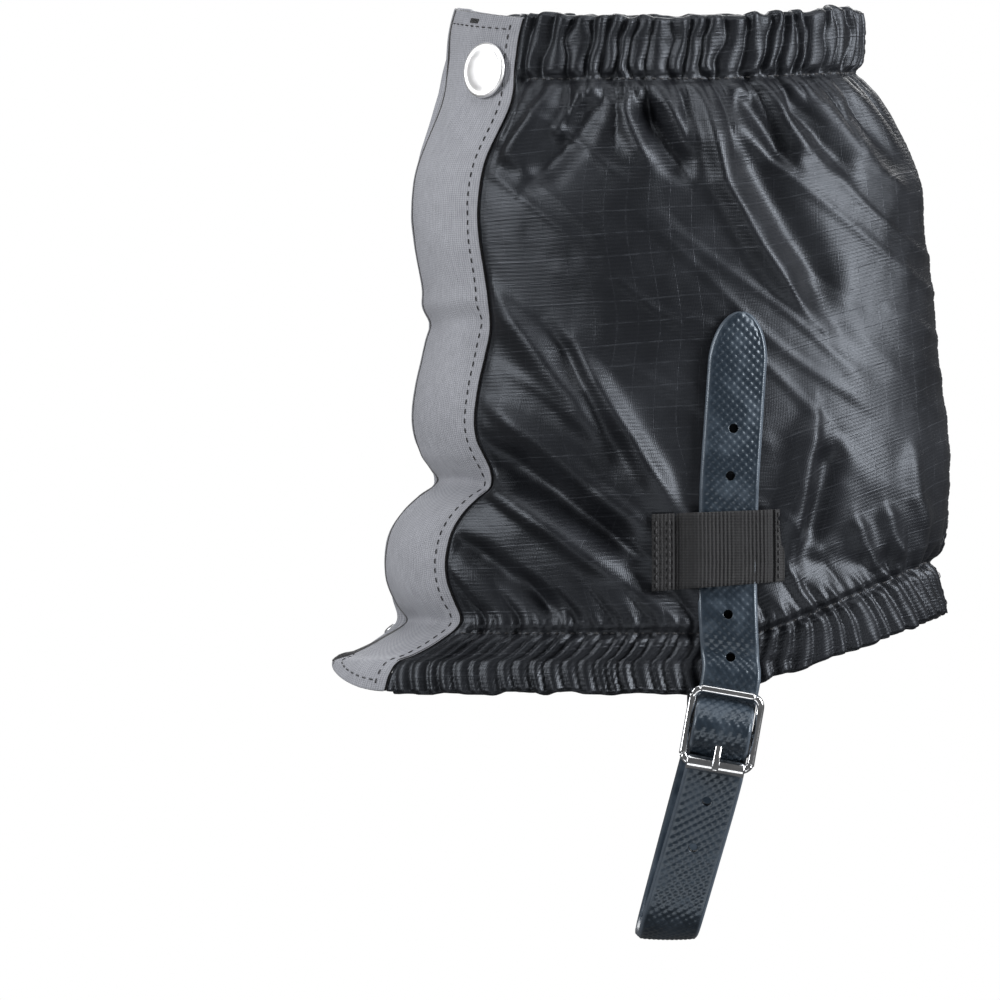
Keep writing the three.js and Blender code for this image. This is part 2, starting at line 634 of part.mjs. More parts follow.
function lowerStations() {
  const points = LOWER_LINE.map(([y, height]) => new THREE.Vector3(lowerX(y, height), y, PIVOT.z + height));
  const roundEnd = [6.4, 3.6];
  return points.map((at, i) => {
    const before = points[Math.max(0, i - 1)];
    const after = points[Math.min(points.length - 1, i + 1)];
    const along3 = after.clone().sub(before).normalize();
    const leg = at.y < 0 && at.z > PIVOT.z - 16 ? BUCKLE_LEAN : LOOP_LEAN;
    // the strap lies flat under the sole and turns into its lean round each corner
    const slope = radians(leg * smooth(24, 50, Math.abs(at.y)));
    const across = new THREE.Vector3(Math.cos(slope), 0, -Math.sin(slope));
    const out = along3.clone().cross(across).normalize();
    const fromEnd = points.length - 1 - i;
    return { at, across, out, half: fromEnd < 2 ? roundEnd[1 - fromEnd] : undefined };
  });
}

function lowerHole(height) {
  const at = new THREE.Vector3(lowerX(-50, height), PIVOT.y, PIVOT.z + height);
  return pin(HOLE_R, 24, at, new THREE.Vector3(0, 1, 0), 12);
}

function addLowerStrap() {
  const strap = ribbon(lowerStations(), STRAP_WIDTH, STRAP_THICK);
  const prongRoom = inBuckle(new THREE.BoxGeometry(PRONG_WIDE + 0.9, 14, 8.6).translate(0, 0, -3.4));
  const holes = HOLE_HEIGHTS_DOWN.map(lowerHole);
  const rivetRoom = pin(2.1, 8, new THREE.Vector3(PIVOT.x, MEDIAL_Y, RIVET_Z), new THREE.Vector3(0, 1, 0));
  add("strap_loop", cut(strap, [prongRoom, rivetRoom, ...holes]), RUBBER);
}

// ---- inner-side fastening -------------------------------------------------------------------
function addMedialFastening() {
  const columns = [-1, -0.34, 0.34, 1].map((side) => (height) => ({
    x: PIVOT.x + side * 10, height, lift: 0,
  }));
  const rivetAt = new THREE.Vector3(PIVOT.x, MEDIAL_Y, RIVET_Z);
  const side = new THREE.Vector3(0, 1, 0);
  const tab = sideSlab(columns, [-22, -12, -2, 8, 17, 26], () => 0.9, 1.4, 1);
  add("medial_tab", cut(tab, [pin(2.1, 14, rivetAt, side)]), WEBBING);
  const inner = -6.5;
  const rivet = [[0, inner], [1.8, inner], [1.8, 1.3], [4.5, 1.3], [4.3, 2.1], [3, 2.7], [0, 2.9]];
  add("strap_rivet", turned(rivet, rivetAt, side), STEEL);
  const burr = [[2.1, -6.2], [4.5, -6.2], [4.5, -5.5], [2.1, -5.5], [2.1, -6.2]];
  add("rivet_burr", turned(burr, rivetAt, side), STEEL);
}

addShell();
addRearSeamTape();
addHems();
addFrontClosing();
addSnap();
addLaceHook();
addSideStrap();
addKeeper();
addBuckleFrame();
addRoller();
addProng();
addAnchor();
addLowerStrap();
addMedialFastening();

export default group;
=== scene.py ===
import math

import bmesh
import bpy
import numpy as np
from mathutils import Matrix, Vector


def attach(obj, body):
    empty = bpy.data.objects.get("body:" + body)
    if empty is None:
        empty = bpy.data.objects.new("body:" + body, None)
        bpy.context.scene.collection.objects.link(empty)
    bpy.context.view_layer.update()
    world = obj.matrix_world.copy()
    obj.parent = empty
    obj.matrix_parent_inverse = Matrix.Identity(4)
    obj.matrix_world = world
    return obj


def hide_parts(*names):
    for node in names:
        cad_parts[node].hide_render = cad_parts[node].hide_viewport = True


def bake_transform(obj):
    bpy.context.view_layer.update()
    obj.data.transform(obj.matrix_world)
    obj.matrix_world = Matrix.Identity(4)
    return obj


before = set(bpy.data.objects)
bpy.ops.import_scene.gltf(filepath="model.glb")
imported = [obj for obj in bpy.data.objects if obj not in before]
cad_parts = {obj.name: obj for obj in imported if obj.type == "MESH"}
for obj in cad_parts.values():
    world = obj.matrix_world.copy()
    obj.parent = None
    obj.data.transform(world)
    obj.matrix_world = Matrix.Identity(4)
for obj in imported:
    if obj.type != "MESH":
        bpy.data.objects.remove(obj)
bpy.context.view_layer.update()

MM = 0.001

# ---- outline of the shell, in millimetres: [height, value] ------------------------------------
TOP = 211.0
SILHOUETTE_X = [
    (0, -106), (5, -104.5), (9.4, -101.6), (11, -96.9), (15.6, -89), (21.3, -82.5), (28, -83.4), (36, -85),
    (43.8, -85), (50, -83.4), (55.6, -79.7), (60, -75), (63.5, -70.6), (68.8, -70.9), (73.4, -73.4),
    (78, -75.9), (84.4, -76.9), (95.3, -75.6), (104.7, -73.4), (112.5, -71.9), (122, -72.8), (131, -74.4),
    (140.6, -76.3), (150, -77.2), (162.5, -76), (173, -73.4), (187.5, -68.8), (203, -65.6), (211, -63.2),
]
REAR_X = [
    (0, 88), (24.4, 88.4), (34.4, 86.6), (40, 84.6), (45.3, 87.2), (56, 89.4), (75, 90), (90.6, 88.4),
    (112.5, 85.9), (137.5, 82.8), (156, 81.2), (162.5, 79.7), (175, 73.4), (186, 65.6), (190.5, 61.5),
    (194.4, 60.9), (199, 62.2), (205, 62.5), (211, 61.5),
]
HALF_WIDTH = [
    (0, 54), (20, 54.2), (45, 56), (80, 58), (115, 57.6), (150, 55.2), (175, 51), (194, 46), (211, 46.5),
]
SEAM_ANGLE = [(0, 142), (50, 141), (112, 139), (164, 136.7), (184, 133), (211, 131.5)]
REAR_RISE = 24.4
REAR_RISE_START = 28.0
TOE_RISE = 9.4
MEDIAL_SEAM = 155.0
STRAP_MIDDLE_X = [(-5, 21.6), (8, 21), (30, 20.3), (60, 20.8), (80, 21.9), (118, 24.4)]
STRAP_HALF = 9.2
PIVOT = np.array([18.75, -59.8, -12.0])
RIVET_AT = np.array([PIVOT[0], 57.2, PIVOT[2]])
INNER_SIDE = np.array([0, 1.0, 0])
HEEL_X = 88


def curve(table, h):
    """Smooth line through a table of (height, value), for arrays."""
    t = np.array(table, float)
    x, y = t[:, 0], t[:, 1]
    slope = np.empty(len(x))
    slope[1:-1] = (y[2:] - y[:-2]) / (x[2:] - x[:-2])
    slope[0] = (y[1] - y[0]) / (x[1] - x[0])
    slope[-1] = (y[-1] - y[-2]) / (x[-1] - x[-2])
    h = np.clip(np.asarray(h, float), x[0], x[-1])
    i = np.clip(np.searchsorted(x, h, side="right") - 1, 0, len(x) - 2)
    span = x[i + 1] - x[i]
    s = (h - x[i]) / span
    return (
        (2 * s**3 - 3 * s**2 + 1) * y[i]
        + (s**3 - 2 * s**2 + s) * span * slope[i]
        + (3 * s**2 - 2 * s**3) * y[i + 1]
        + (s**3 - s**2) * span * slope[i + 1]
    )


def smooth(low, high, value):
    s = np.clip((np.asarray(value, float) - low) / (high - low), 0, 1)
    return s * s * (3 - 2 * s)


def bump(centre, reach, value):
    """1 at the centre, falling smoothly to 0 at reach on either side."""
    return 1 - smooth(0, reach, np.abs(np.asarray(value, float) - centre))


def run_along(line):
    """Distance from the start of a line of points to each of its points."""
    return np.concatenate([[0], np.cumsum(np.linalg.norm(np.diff(line, axis=0), axis=1))])


def unit(vectors):
    return vectors / np.linalg.norm(vectors, axis=-1)[..., None]


def directions(line):
    """Unit direction of travel at each point of a line."""
    return unit(np.gradient(line, axis=0))


def underlap_shows(h):
    """How far the underlap stands out past the strip's free edge, in millimetres."""
    return 2.6 * bump(184, 26, h) + 2.4 * bump(20, 15, h)


def oval(h):
    front = curve(SILHOUETTE_X, h) + underlap_shows(h)
    rear = curve(REAR_X, h)
    return (front + rear) / 2, (rear - front) / 2, curve(HALF_WIDTH, h)


def on_oval(angle, h, offset):
    """Point of the shell at an angle in radians from the heel by the outer side, and its outward normal."""
    centre, half, wide = oval(h)
    nx, ny = np.cos(angle) * wide, -np.sin(angle) * half
    size = np.hypot(nx, ny)
    nx, ny = nx / size, ny / size
    point = np.stack(
        [centre + half * np.cos(angle) + nx * offset, -wide * np.sin(angle) + ny * offset, h + 0 * angle], -1
    )
    return point, np.stack([nx, ny, 0 * nx], -1)


def hem_height(angle):
    x = HEEL_X * np.cos(angle)
    heel = REAR_RISE * np.maximum(0, (x - REAR_RISE_START) / (HEEL_X - REAR_RISE_START))
    turn = np.degrees(angle)
    toe = np.where(turn > 180, 360 - turn, np.abs(turn))
    return heel + TOE_RISE * smooth(142, 180, toe)


def over_side(x, h, offset, side=-1):
    """Point over the outer (-1) or inner (1) side of the shell, by x and height."""
    on = np.maximum(0, h)
    centre, half, _ = oval(on)
    point, normal = on_oval(np.arccos(np.clip((x - centre) / half, -1, 1)), on, offset)
    point[..., 2] = h
    point[..., 1] *= -side
    normal = normal * np.array([1, -side, 1])
    return point, normal


def across_angle(across, h):
    """Angle round the shell: across -1..0 inner side, 0..1 outer side, 1..2 strip, 2..3 toe to inner seam."""
    seam = curve(SEAM_ANGLE, h)
    a = np.asarray(across, float)
    degrees = np.where(
        a <= 0,
        MEDIAL_SEAM * a,
        np.where(
            a <= 1,
            seam * a,
            np.where(a <= 2, seam + (180 - seam) * (a - 1), 180 + (180 - MEDIAL_SEAM) * (a - 2)),
        ),
    )
    return np.radians(degrees)


# ---- noise, folds and gathers --------------------------------------------------------------------
FOLD_FADE = 0.25


def value_noise(seed, x, y):
    """Smooth seeded noise from -1 to 1 over a plane, one cell per unit."""
    x, y = np.asarray(x, float), np.asarray(y, float)
    table = np.random.default_rng(seed).uniform(-1, 1, (64, 64))
    xi, yi = np.floor(x).astype(int), np.floor(y).astype(int)
    fx, fy = x - xi, y - yi
    fx, fy = fx * fx * (3 - 2 * fx), fy * fy * (3 - 2 * fy)
    a, b = table[xi % 64, yi % 64], table[(xi + 1) % 64, yi % 64]
    c, d = table[xi % 64, (yi + 1) % 64], table[(xi + 1) % 64, (yi + 1) % 64]
    return (a * (1 - fx) + b * fx) * (1 - fy) + (c * (1 - fx) + d * fx) * fy


def fold(px, pz, route, height, width, lean=0.0):
    """Ridge (or valley, if height is negative) along a route in the side view, skewed to one side by lean."""
    route = np.array(route, float)
    best = np.full(px.shape, 1e9)
    side = np.zeros(px.shape)
    run = np.zeros(px.shape)
    lengths = np.hypot(*(route[1:] - route[:-1]).T)
    total = lengths.sum()
    start = 0.0
    for (x0, z0), (x1, z1), length in zip(route[:-1], route[1:], lengths):
        ux, uz = (x1 - x0) / length, (z1 - z0) / length
        t = np.clip((px - x0) * ux + (pz - z0) * uz, 0, length)
        dx, dz = px - x0 - t * ux, pz - z0 - t * uz
        distance = np.hypot(dx, dz)
        nearer = distance < best
        best = np.where(nearer, distance, best)
        side = np.where(nearer, np.sign(ux * dz - uz * dx), side)
        run = np.where(nearer, (start + t) / total, run)
        start += length
    reach = width * (1 + lean * side)
    ends = smooth(0, FOLD_FADE, run) * smooth(0, FOLD_FADE, 1 - run)
    taper = 0.15 + 0.85 * ends
    return height * taper * np.exp(-((best / (reach * (0.6 + 0.4 * ends))) ** 2))


def gathers(position, seed, pitch):
    """Irregular pleats along a tunnel: -1 in the pinches, 1 on the crests."""
    rng = np.random.default_rng(seed)
    edges = [0.0]
    while edges[-1] < position.max() + pitch:
        edges.append(edges[-1] + pitch * rng.uniform(0.65, 1.45))
    edges = np.array(edges)
    tall = rng.uniform(0.55, 1.0, len(edges))
    i = np.clip(np.searchsorted(edges, position, side="right") - 1, 0, len(edges) - 2)
    t = (position - edges[i]) / (edges[i + 1] - edges[i])
    return (np.sin(np.pi * t) ** 0.8 * 2 - 1) * tall[i]


# ---- the shell's surface ---------------------------------------------------------------------
TOP_STITCH = 190.4
LOW_STITCH = 18.0
PLEAT_PITCH = 5.6
LOW_PLEAT_PITCH = 4.7
PLEAT_LEAN = 0.45
FOLD_SCALE = 1.6

# ridges (+) and valleys (-) of the worn fabric in the side view: route of (x, z), height, width, lean
OUTER_FOLDS = [
    ([(-39, 191), (-45, 178), (-52, 168)], 1.5, 3.0, 0.2),
    ([(-31, 191), (-40, 176), (-50, 162)], 2.2, 3.4, 0.3),
    ([(-22, 191), (-27, 180), (-33, 169)], 2.0, 3.4, 0.2),
    ([(-18, 187), (-29, 171), (-42, 156)], -2.6, 4.4, 0.2),
    ([(-14, 190), (-10, 178), (-3, 163)], 1.7, 3.8, 0),
    ([(-9, 186), (0, 172), (10, 157)], -2.6, 3.8, 0),
    ([(1, 191), (5, 178), (11, 165)], 1.6, 3.4, 0),
    ([(12, 190), (20, 160), (31, 138), (48, 114)], 4.2, 6.0, 0.35),
    ([(19, 176), (33, 151), (56, 114)], -3.6, 7.5, 0),
    ([(22, 188), (32, 175), (42, 162)], -2.0, 3.0, 0),
    ([(30, 190), (40, 177), (50, 165)], 1.6, 3.6, 0),
    ([(37, 187), (48, 174), (61, 159)], -2.2, 3.4, 0),
    ([(46, 190), (57, 176), (68, 163)], 1.3, 3.4, 0),
    ([(55, 186), (67, 172), (79, 157)], -1.4, 3.2, 0),
    ([(-52, 126), (-38, 107), (-26, 91), (-17, 75)], 2.6, 4.6, -0.3),
    ([(-27, 109), (-12, 83), (6, 55)], 3.0, 5.0, -0.3),
    ([(-36, 116), (-22, 90), (-6, 64)], -1.6, 3.8, 0),
    ([(-57, 80), (-41, 67), (-24, 54), (-4, 39)], -3.6, 4.6, 0),
    ([(-56, 91), (-38, 78), (-20, 63), (-2, 49)], 1.8, 4.2, 0),
    ([(-60, 71), (-44, 58), (-27, 45), (-10, 32)], 2.2, 4.4, 0.2),
    ([(-66, 49), (-46, 35), (-27, 21)], -2.4, 3.8, 0),
    ([(-66, 29), (-58, 19)], -1.4, 3.0, 0),
    ([(-14, 40), (2, 30), (12, 22)], -1.2, 3.4, 0),
    ([(48, 90), (44, 65), (40, 41)], 2.2, 4.0, -0.3),
    ([(54, 80), (50, 60), (45, 42)], -2.2, 4.2, 0),
    ([(60, 56), (62, 45), (66, 34)], 1.4, 2.8, 0),
    ([(69, 60), (71, 48), (76, 37)], 1.4, 2.8, 0),
    ([(78, 78), (79, 60), (83, 46)], 1.2, 2.8, 0),
    ([(36, 60), (38, 45), (44, 30)], 0.9, 3.0, 0),
]
INNER_FOLDS = [
    ([(-66, 186), (-48, 160), (-34, 132)], 2.2, 5.0, 0.3),
    ([(-40, 188), (-22, 158), (-12, 130)], 2.6, 5.5, 0.3),
    ([(-28, 182), (-10, 152), (2, 122)], -2.4, 5.0, 0),
    ([(8, 188), (12, 160), (24, 132), (44, 108)], 3.0, 6.0, -0.3),
    ([(24, 184), (34, 158), (52, 128)], -2.4, 6.0, 0),
    ([(46, 186), (56, 168), (70, 150)], 1.8, 4.2, 0),
    ([(-70, 96), (-44, 78), (-18, 58), (4, 44)], 2.6, 5.0, 0.3),
    ([(-66, 82), (-42, 64), (-16, 46)], -2.8, 5.0, 0),
    ([(-30, 118), (-6, 96), (22, 82)], 1.8, 5.5, 0),
    ([(30, 96), (50, 78), (72, 68)], -2.0, 6.0, 0),
    ([(28, 66), (50, 58), (76, 52)], 1.8, 4.6, 0),
    ([(-74, 54), (-56, 40), (-38, 24)], 1.8, 4.2, 0),
]


def shell_at(across, level, offset=0.0):
    """Points and outward normals of the bare shell, element by element."""
    hem = hem_height(across_angle(across, level))
    h = hem + level / TOP * (TOP - hem)
    return on_oval(across_angle(across, h), h, offset)


def arc_table(level):
    """Distance round the shell from the heel seam at one level: across values and millimetres."""
    across = np.linspace(-1, 1, 801)
    points, _ = shell_at(across, np.full(across.shape, level))
    run = run_along(points)
    return across, run - np.interp(0, across, run)


TOP_ARC = arc_table(200.0)
LOW_ARC = arc_table(10.0)
MIDDLE_ARC = arc_table(110.0)


def arc(table, across):
    return np.interp(across, table[0], table[1])


def creased(seed, x, z, slope, narrow, long):
    """Soft creases lying along one slope of the side view, in millimetres."""
    size = math.hypot(1, slope)
    along = (x - slope * z) / size
    over = (slope * x + z) / size
    ridge = 1 - np.abs(value_noise(seed, over / narrow + 20, along / long + 20))
    return 1.1 * (smooth(0.55, 1.0, ridge) - 0.3)


def hem_relief(across, level):
    """Pleats drawn up by the two elastics, the pinched stitch lines and the folds that fan out of them."""
    top_run = arc(TOP_ARC, across) + 400
    low_run = arc(LOW_ARC, across) + 400 - PLEAT_LEAN * level
    top_wave = gathers(top_run, 11, PLEAT_PITCH)
    wide_wave = gathers(top_run + 0.12 * (TOP_STITCH - level), 12, 2 * PLEAT_PITCH)
    in_tunnel = smooth(TOP_STITCH - 0.8, TOP_STITCH + 3, level)
    under = TOP_STITCH - level
    shifted = gathers(top_run + 1.7 * value_noise(13, top_run / 5, level / 7), 11, PLEAT_PITCH)
    relief = 1.75 * shifted * in_tunnel * (1 - 0.35 * bump(TOP_STITCH + 11, 9, level))
    below = 1.2 * top_wave * (1 - smooth(0, 11, under)) + 1.7 * wide_wave * (1 - smooth(6, 30, under))
    relief += below * (1 - in_tunnel)
    relief -= (1.9 + 0.6 * top_wave) * np.exp(-(((level - TOP_STITCH) / 1.7) ** 2))
    low_wave = gathers(low_run, 21, LOW_PLEAT_PITCH)
    low_wide = gathers(low_run, 22, 2.3 * LOW_PLEAT_PITCH)
    in_low = 1 - smooth(LOW_STITCH - 3, LOW_STITCH + 0.8, level)
    over = level - LOW_STITCH
    relief += 1.6 * low_wave * in_low * (1 - 0.35 * bump(8, 8, level))
    above = 1.2 * low_wave * (1 - smooth(0, 9, over)) + 1.4 * low_wide * (1 - smooth(4, 22, over))
    relief += above * (1 - in_low)
    relief -= (1.8 + 0.5 * low_wave) * np.exp(-(((level - LOW_STITCH) / 1.6) ** 2))
    return relief


def worn_relief(across, level):
    """How far the worn fabric stands off its bare line, in millimetres."""
    bare, _ = shell_at(across, level)
    x, z = bare[..., 0], bare[..., 2]
    body = smooth(LOW_STITCH, LOW_STITCH + 9, level) * (1 - smooth(TOP_STITCH - 9, TOP_STITCH, level))
    outer = FOLD_SCALE * sum(fold(x, z, *row) for row in OUTER_FOLDS)
    inner = FOLD_SCALE * sum(fold(x, z, *row) for row in INNER_FOLDS)
    on_outer = smooth(0.0, 0.08, across)
    on_inner = smooth(0.0, 0.08, -across)
    run = arc(MIDDLE_ARC, across)
    waves = 0.9 * value_noise(31, run / 26 + 8, z / 30) + 0.3 * value_noise(32, run / 9 + 20, z / 11)
    waves += 0.08 * value_noise(33, run / 3.6 + 30, z / 4.6)
    waves += 0.45 * creased(34, x, z, 0.84, 8.5, 42)
    relief = (outer * on_outer + inner * on_inner) * (0.35 + 0.65 * body) + waves * (0.3 + 0.7 * body)
    relief += hem_relief(across, level)
    relief -= 0.9 * np.exp(-((run / 0.9) ** 2))
    at_seams = smooth(0, 0.022, 1 - np.abs(across))
    return relief * at_seams


def worn_shell(across, level, offset=0.0):
    bare, normal = shell_at(across, level)
    relief = worn_relief(across, level)
    point = bare + normal * (relief + offset)[..., None]
    top_run = arc(TOP_ARC, across)
    sway = 1.6 * bump(20, 22, top_run) - 2.0 * bump(88, 60, top_run)
    lift = (0.7 * value_noise(41, top_run / 4 + 50, level * 0) + sway) * smooth(TOP - 12, TOP, level)
    drop = 0.7 * value_noise(42, arc(LOW_ARC, across) / 4 + 50, level * 0) * (1 - smooth(0, 9, level))
    point[..., 2] += lift + drop
    return point


# ---- mesh making -------------------------------------------------------------------------------
def new_object(name, verts, faces, uv=None, material=None):
    mesh = bpy.data.meshes.new(name)
    mesh.from_pydata((np.asarray(verts, float) * MM).tolist(), [], faces)
    mesh.polygons.foreach_set("use_smooth", [True] * len(mesh.polygons))
    if uv is not None:
        corners = np.empty(len(mesh.loops), dtype=np.int32)
        mesh.loops.foreach_get("vertex_index", corners)
        layer = mesh.uv_layers.new(name="UVMap")
        layer.data.foreach_set("uv", (np.asarray(uv, float)[corners] * MM).ravel())
    mesh.validate()
    obj = bpy.data.objects.new(name, mesh)
    bpy.context.scene.collection.objects.link(obj)
    if material is not None:
        mesh.materials.append(material)
    return obj


def grid_faces(rows, columns, start=0, flip=False):
    r, c = np.meshgrid(np.arange(rows - 1), np.arange(columns - 1), indexing="ij")
    a = (start + r * columns + c).ravel()
    quads = np.stack([a, a + 1, a + columns + 1, a + columns], -1)
    return quads[:, ::-1] if flip else quads


def border_loop(rows, columns):
    """Indices round the edge of a grid, in order."""
    top = [c for c in range(columns)]
    right = [r * columns + columns - 1 for r in range(1, rows)]
    bottom = [(rows - 1) * columns + c for c in range(columns - 2, -1, -1)]
    left = [r * columns for r in range(rows - 2, 0, -1)]
    return top + right + bottom + left


def two_sided(name, outer, inner, uv, material):
    """Closed sheet between an outer and an inner grid of points; uv is in millimetres."""
    rows, columns = outer.shape[:2]
    count = rows * columns
    across = outer[rows // 2, columns // 2 + 1] - outer[rows // 2, columns // 2]
    up = outer[rows // 2 + 1, columns // 2] - outer[rows // 2, columns // 2]
    out = outer[rows // 2, columns // 2] - inner[rows // 2, columns // 2]
    flip = np.dot(np.cross(across, up), out) < 0
    faces = [grid_faces(rows, columns, 0, flip), grid_faces(rows, columns, count, not flip)]
    edge = np.array(border_loop(rows, columns))
    after = np.roll(edge, -1)
    rim = np.stack([after, edge, edge + count, after + count], -1)
    faces.append(rim[:, ::-1] if flip else rim)
    verts = np.concatenate([outer.reshape(-1, 3), inner.reshape(-1, 3)])
    flat_uv = np.concatenate([uv.reshape(-1, 2), uv.reshape(-1, 2)])
    return new_object(name, verts, np.concatenate(faces).tolist(), flat_uv, material)


def tube_faces(rings, sides, start=0, closed=False):
    """Side faces between rings of points laid one after another."""
    faces = []
    for r in range(rings if closed else rings - 1):
        low, high = start + r * sides, start + ((r + 1) % rings) * sides
        for i in range(sides):
            j = (i + 1) % sides
            faces.append((low + i, low + j, high + j, high + i))
    return faces


def caps(rings, sides, start=0):
    """Flat faces over a tube's two ends."""
    last = start + (rings - 1) * sides
    return [tuple(start + i for i in range(sides))[::-1], tuple(last + i for i in range(sides))]


def swept(name, centres, sides, ups, section, material, closed=False):
    """Tube of an outline [across, out] carried along a line of points with a side and an out direction."""
    section = np.asarray(section, float)
    count, turns = len(section), len(centres)
    across = section[None, :, 0:1] * sides[:, None, :]
    verts = (centres[:, None, :] + across + section[None, :, 1:2] * ups[:, None, :]).reshape(-1, 3)
    faces = tube_faces(turns, count, 0, closed)
    if not closed:
        faces += caps(turns, count)
    obj = new_object(name, verts, faces, None, material)
    outward(obj)
    return obj


def outward(obj):
    """Turns every face of a closed mesh to face out."""
    bm = bmesh.new()
    bm.from_mesh(obj.data)
    bmesh.ops.recalc_face_normals(bm, faces=bm.faces)
    bm.to_mesh(obj.data)
    bm.free()


def lathe(name, profile, at, direction, material, sides):
    """Turned piece: its profile of [radius, height] starts and ends on its axis, or closes on itself."""
    axis = Vector(direction).normalized()
    turn = Vector((0, 0, 1)).rotation_difference(axis).to_matrix()
    angle = np.linspace(0, 2 * math.pi, sides, endpoint=False)
    profile = np.asarray(profile, float)
    on_axis = profile[0][0] == 0
    body = profile[1:-1] if on_axis else profile[:-1]
    radius, height = body[:, 0:1], np.repeat(body[:, 1:2], sides, axis=1)
    verts = np.stack([radius * np.cos(angle), radius * np.sin(angle), height], -1).reshape(-1, 3).tolist()
    turns = len(body)
    faces = tube_faces(turns, sides, 0, not on_axis)
    if on_axis:
        verts += [[0, 0, profile[0][1]], [0, 0, profile[-1][1]]]
        first, last = len(verts) - 2, len(verts) - 1
        for i in range(sides):
            j = (i + 1) % sides
            faces.append((first, j, i))
            faces.append((last, (turns - 1) * sides + i, (turns - 1) * sides + j))
    placed = (np.asarray(verts) @ np.array(turn).T) + np.asarray(at, float)
    obj = new_object(name, placed, faces, None, material)
    outward(obj)
    return obj


def rounded(points):
    """Open outline with its corners cut twice, its ends kept."""
    points = np.asarray(points, float)
    for _ in range(2):
        a, b = points[:-1], points[1:]
        cut = np.empty((2 * len(a), points.shape[1]))
        cut[0::2] = 0.75 * a + 0.25 * b
        cut[1::2] = 0.25 * a + 0.75 * b
        points = np.concatenate([points[:1], cut[1:-1], points[-1:]])
    return points


def spline(points, step):
    """Evenly spaced points along a smooth curve through the given ones."""
    points = np.asarray(points, float)
    padded = np.concatenate([[2 * points[0] - points[1]], points, [2 * points[-1] - points[-2]]])
    dense = []
    for i in range(1, len(padded) - 2):
        p0, p1, p2, p3 = padded[i - 1 : i + 3]
        t = np.linspace(0, 1, 24, endpoint=False)[:, None]
        squared = (2 * p0 - 5 * p1 + 4 * p2 - p3) * t**2
        dense.append(0.5 * (2 * p1 + (p2 - p0) * t + squared + (3 * p1 - p0 - 3 * p2 + p3) * t**3))
    dense = np.concatenate(dense + [points[-1:]])
    run = run_along(dense)
    even = np.linspace(0, run[-1], max(2, int(round(run[-1] / step)) + 1))
    return np.stack([np.interp(even, run, dense[:, k]) for k in range(3)], -1)


def finished(obj):
    """Applies an object's modifiers to its mesh."""
    depsgraph = bpy.context.evaluated_depsgraph_get()
    mesh = bpy.data.meshes.new_from_object(obj.evaluated_get(depsgraph), depsgraph=depsgraph)
    obj.modifiers.clear()
    obj.data = mesh
    return obj


def combined(obj, tool, operation):
    """Cuts a closed tool from a closed mesh, or fuses the two, and removes the tool."""
    modifier = obj.modifiers.new("combine", "BOOLEAN")
    modifier.operation = operation
    modifier.solver = "EXACT"
    modifier.object = tool
    finished(obj)
    bpy.data.objects.remove(tool)


def punched(obj, holes):
    """Cuts round holes, given as (centre, direction, radius), through a closed mesh."""
    for i, (centre, direction, radius) in enumerate(holes):
        profile = [[0, -12], [radius, -12], [radius, 12], [0, 12]]
        combined(obj, lathe(f"punch_{i}", profile, centre, direction, None, 28), "DIFFERENCE")


def stitches(name, line, outs, length, gap, radius):
    """Row of short sewn stitches along a line of points, each half sunk in the cloth."""
    run = run_along(line)
    verts, faces = [], []
    sides, rings = 8, 7
    place = 0.5 * gap
    while place + length < run[-1]:
        t = np.linspace(0, 1, rings)
        at = np.stack([np.interp(place + t * length, run, line[:, k]) for k in range(3)], -1)
        out = unit(np.stack([np.interp(place + t * length, run, outs[:, k]) for k in range(3)], -1))
        side = unit(np.cross(unit(at[-1] - at[0]), out))
        thick = radius * np.sqrt(np.clip(1 - (2 * t - 1) ** 4, 0.04, 1))
        arch = radius * (0.9 - 1.5 * (2 * t - 1) ** 4)
        start = len(verts)
        for k in range(rings):
            for s in range(sides):
                a = 2 * math.pi * s / sides
                high = arch[k] + thick[k] * math.sin(a)
                verts.append(at[k] + out[k] * high + side[k] * thick[k] * math.cos(a))
        faces += tube_faces(rings, sides, start) + caps(rings, sides, start)
        place += length + gap
    obj = new_object(name, verts, faces, None, THREAD)
    outward(obj)
    return obj


def surface_normals(points):
    """Unit normals of a grid of points."""
    along = np.gradient(points, axis=0)
    across = np.gradient(points, axis=1)
    return unit(np.cross(across, along))


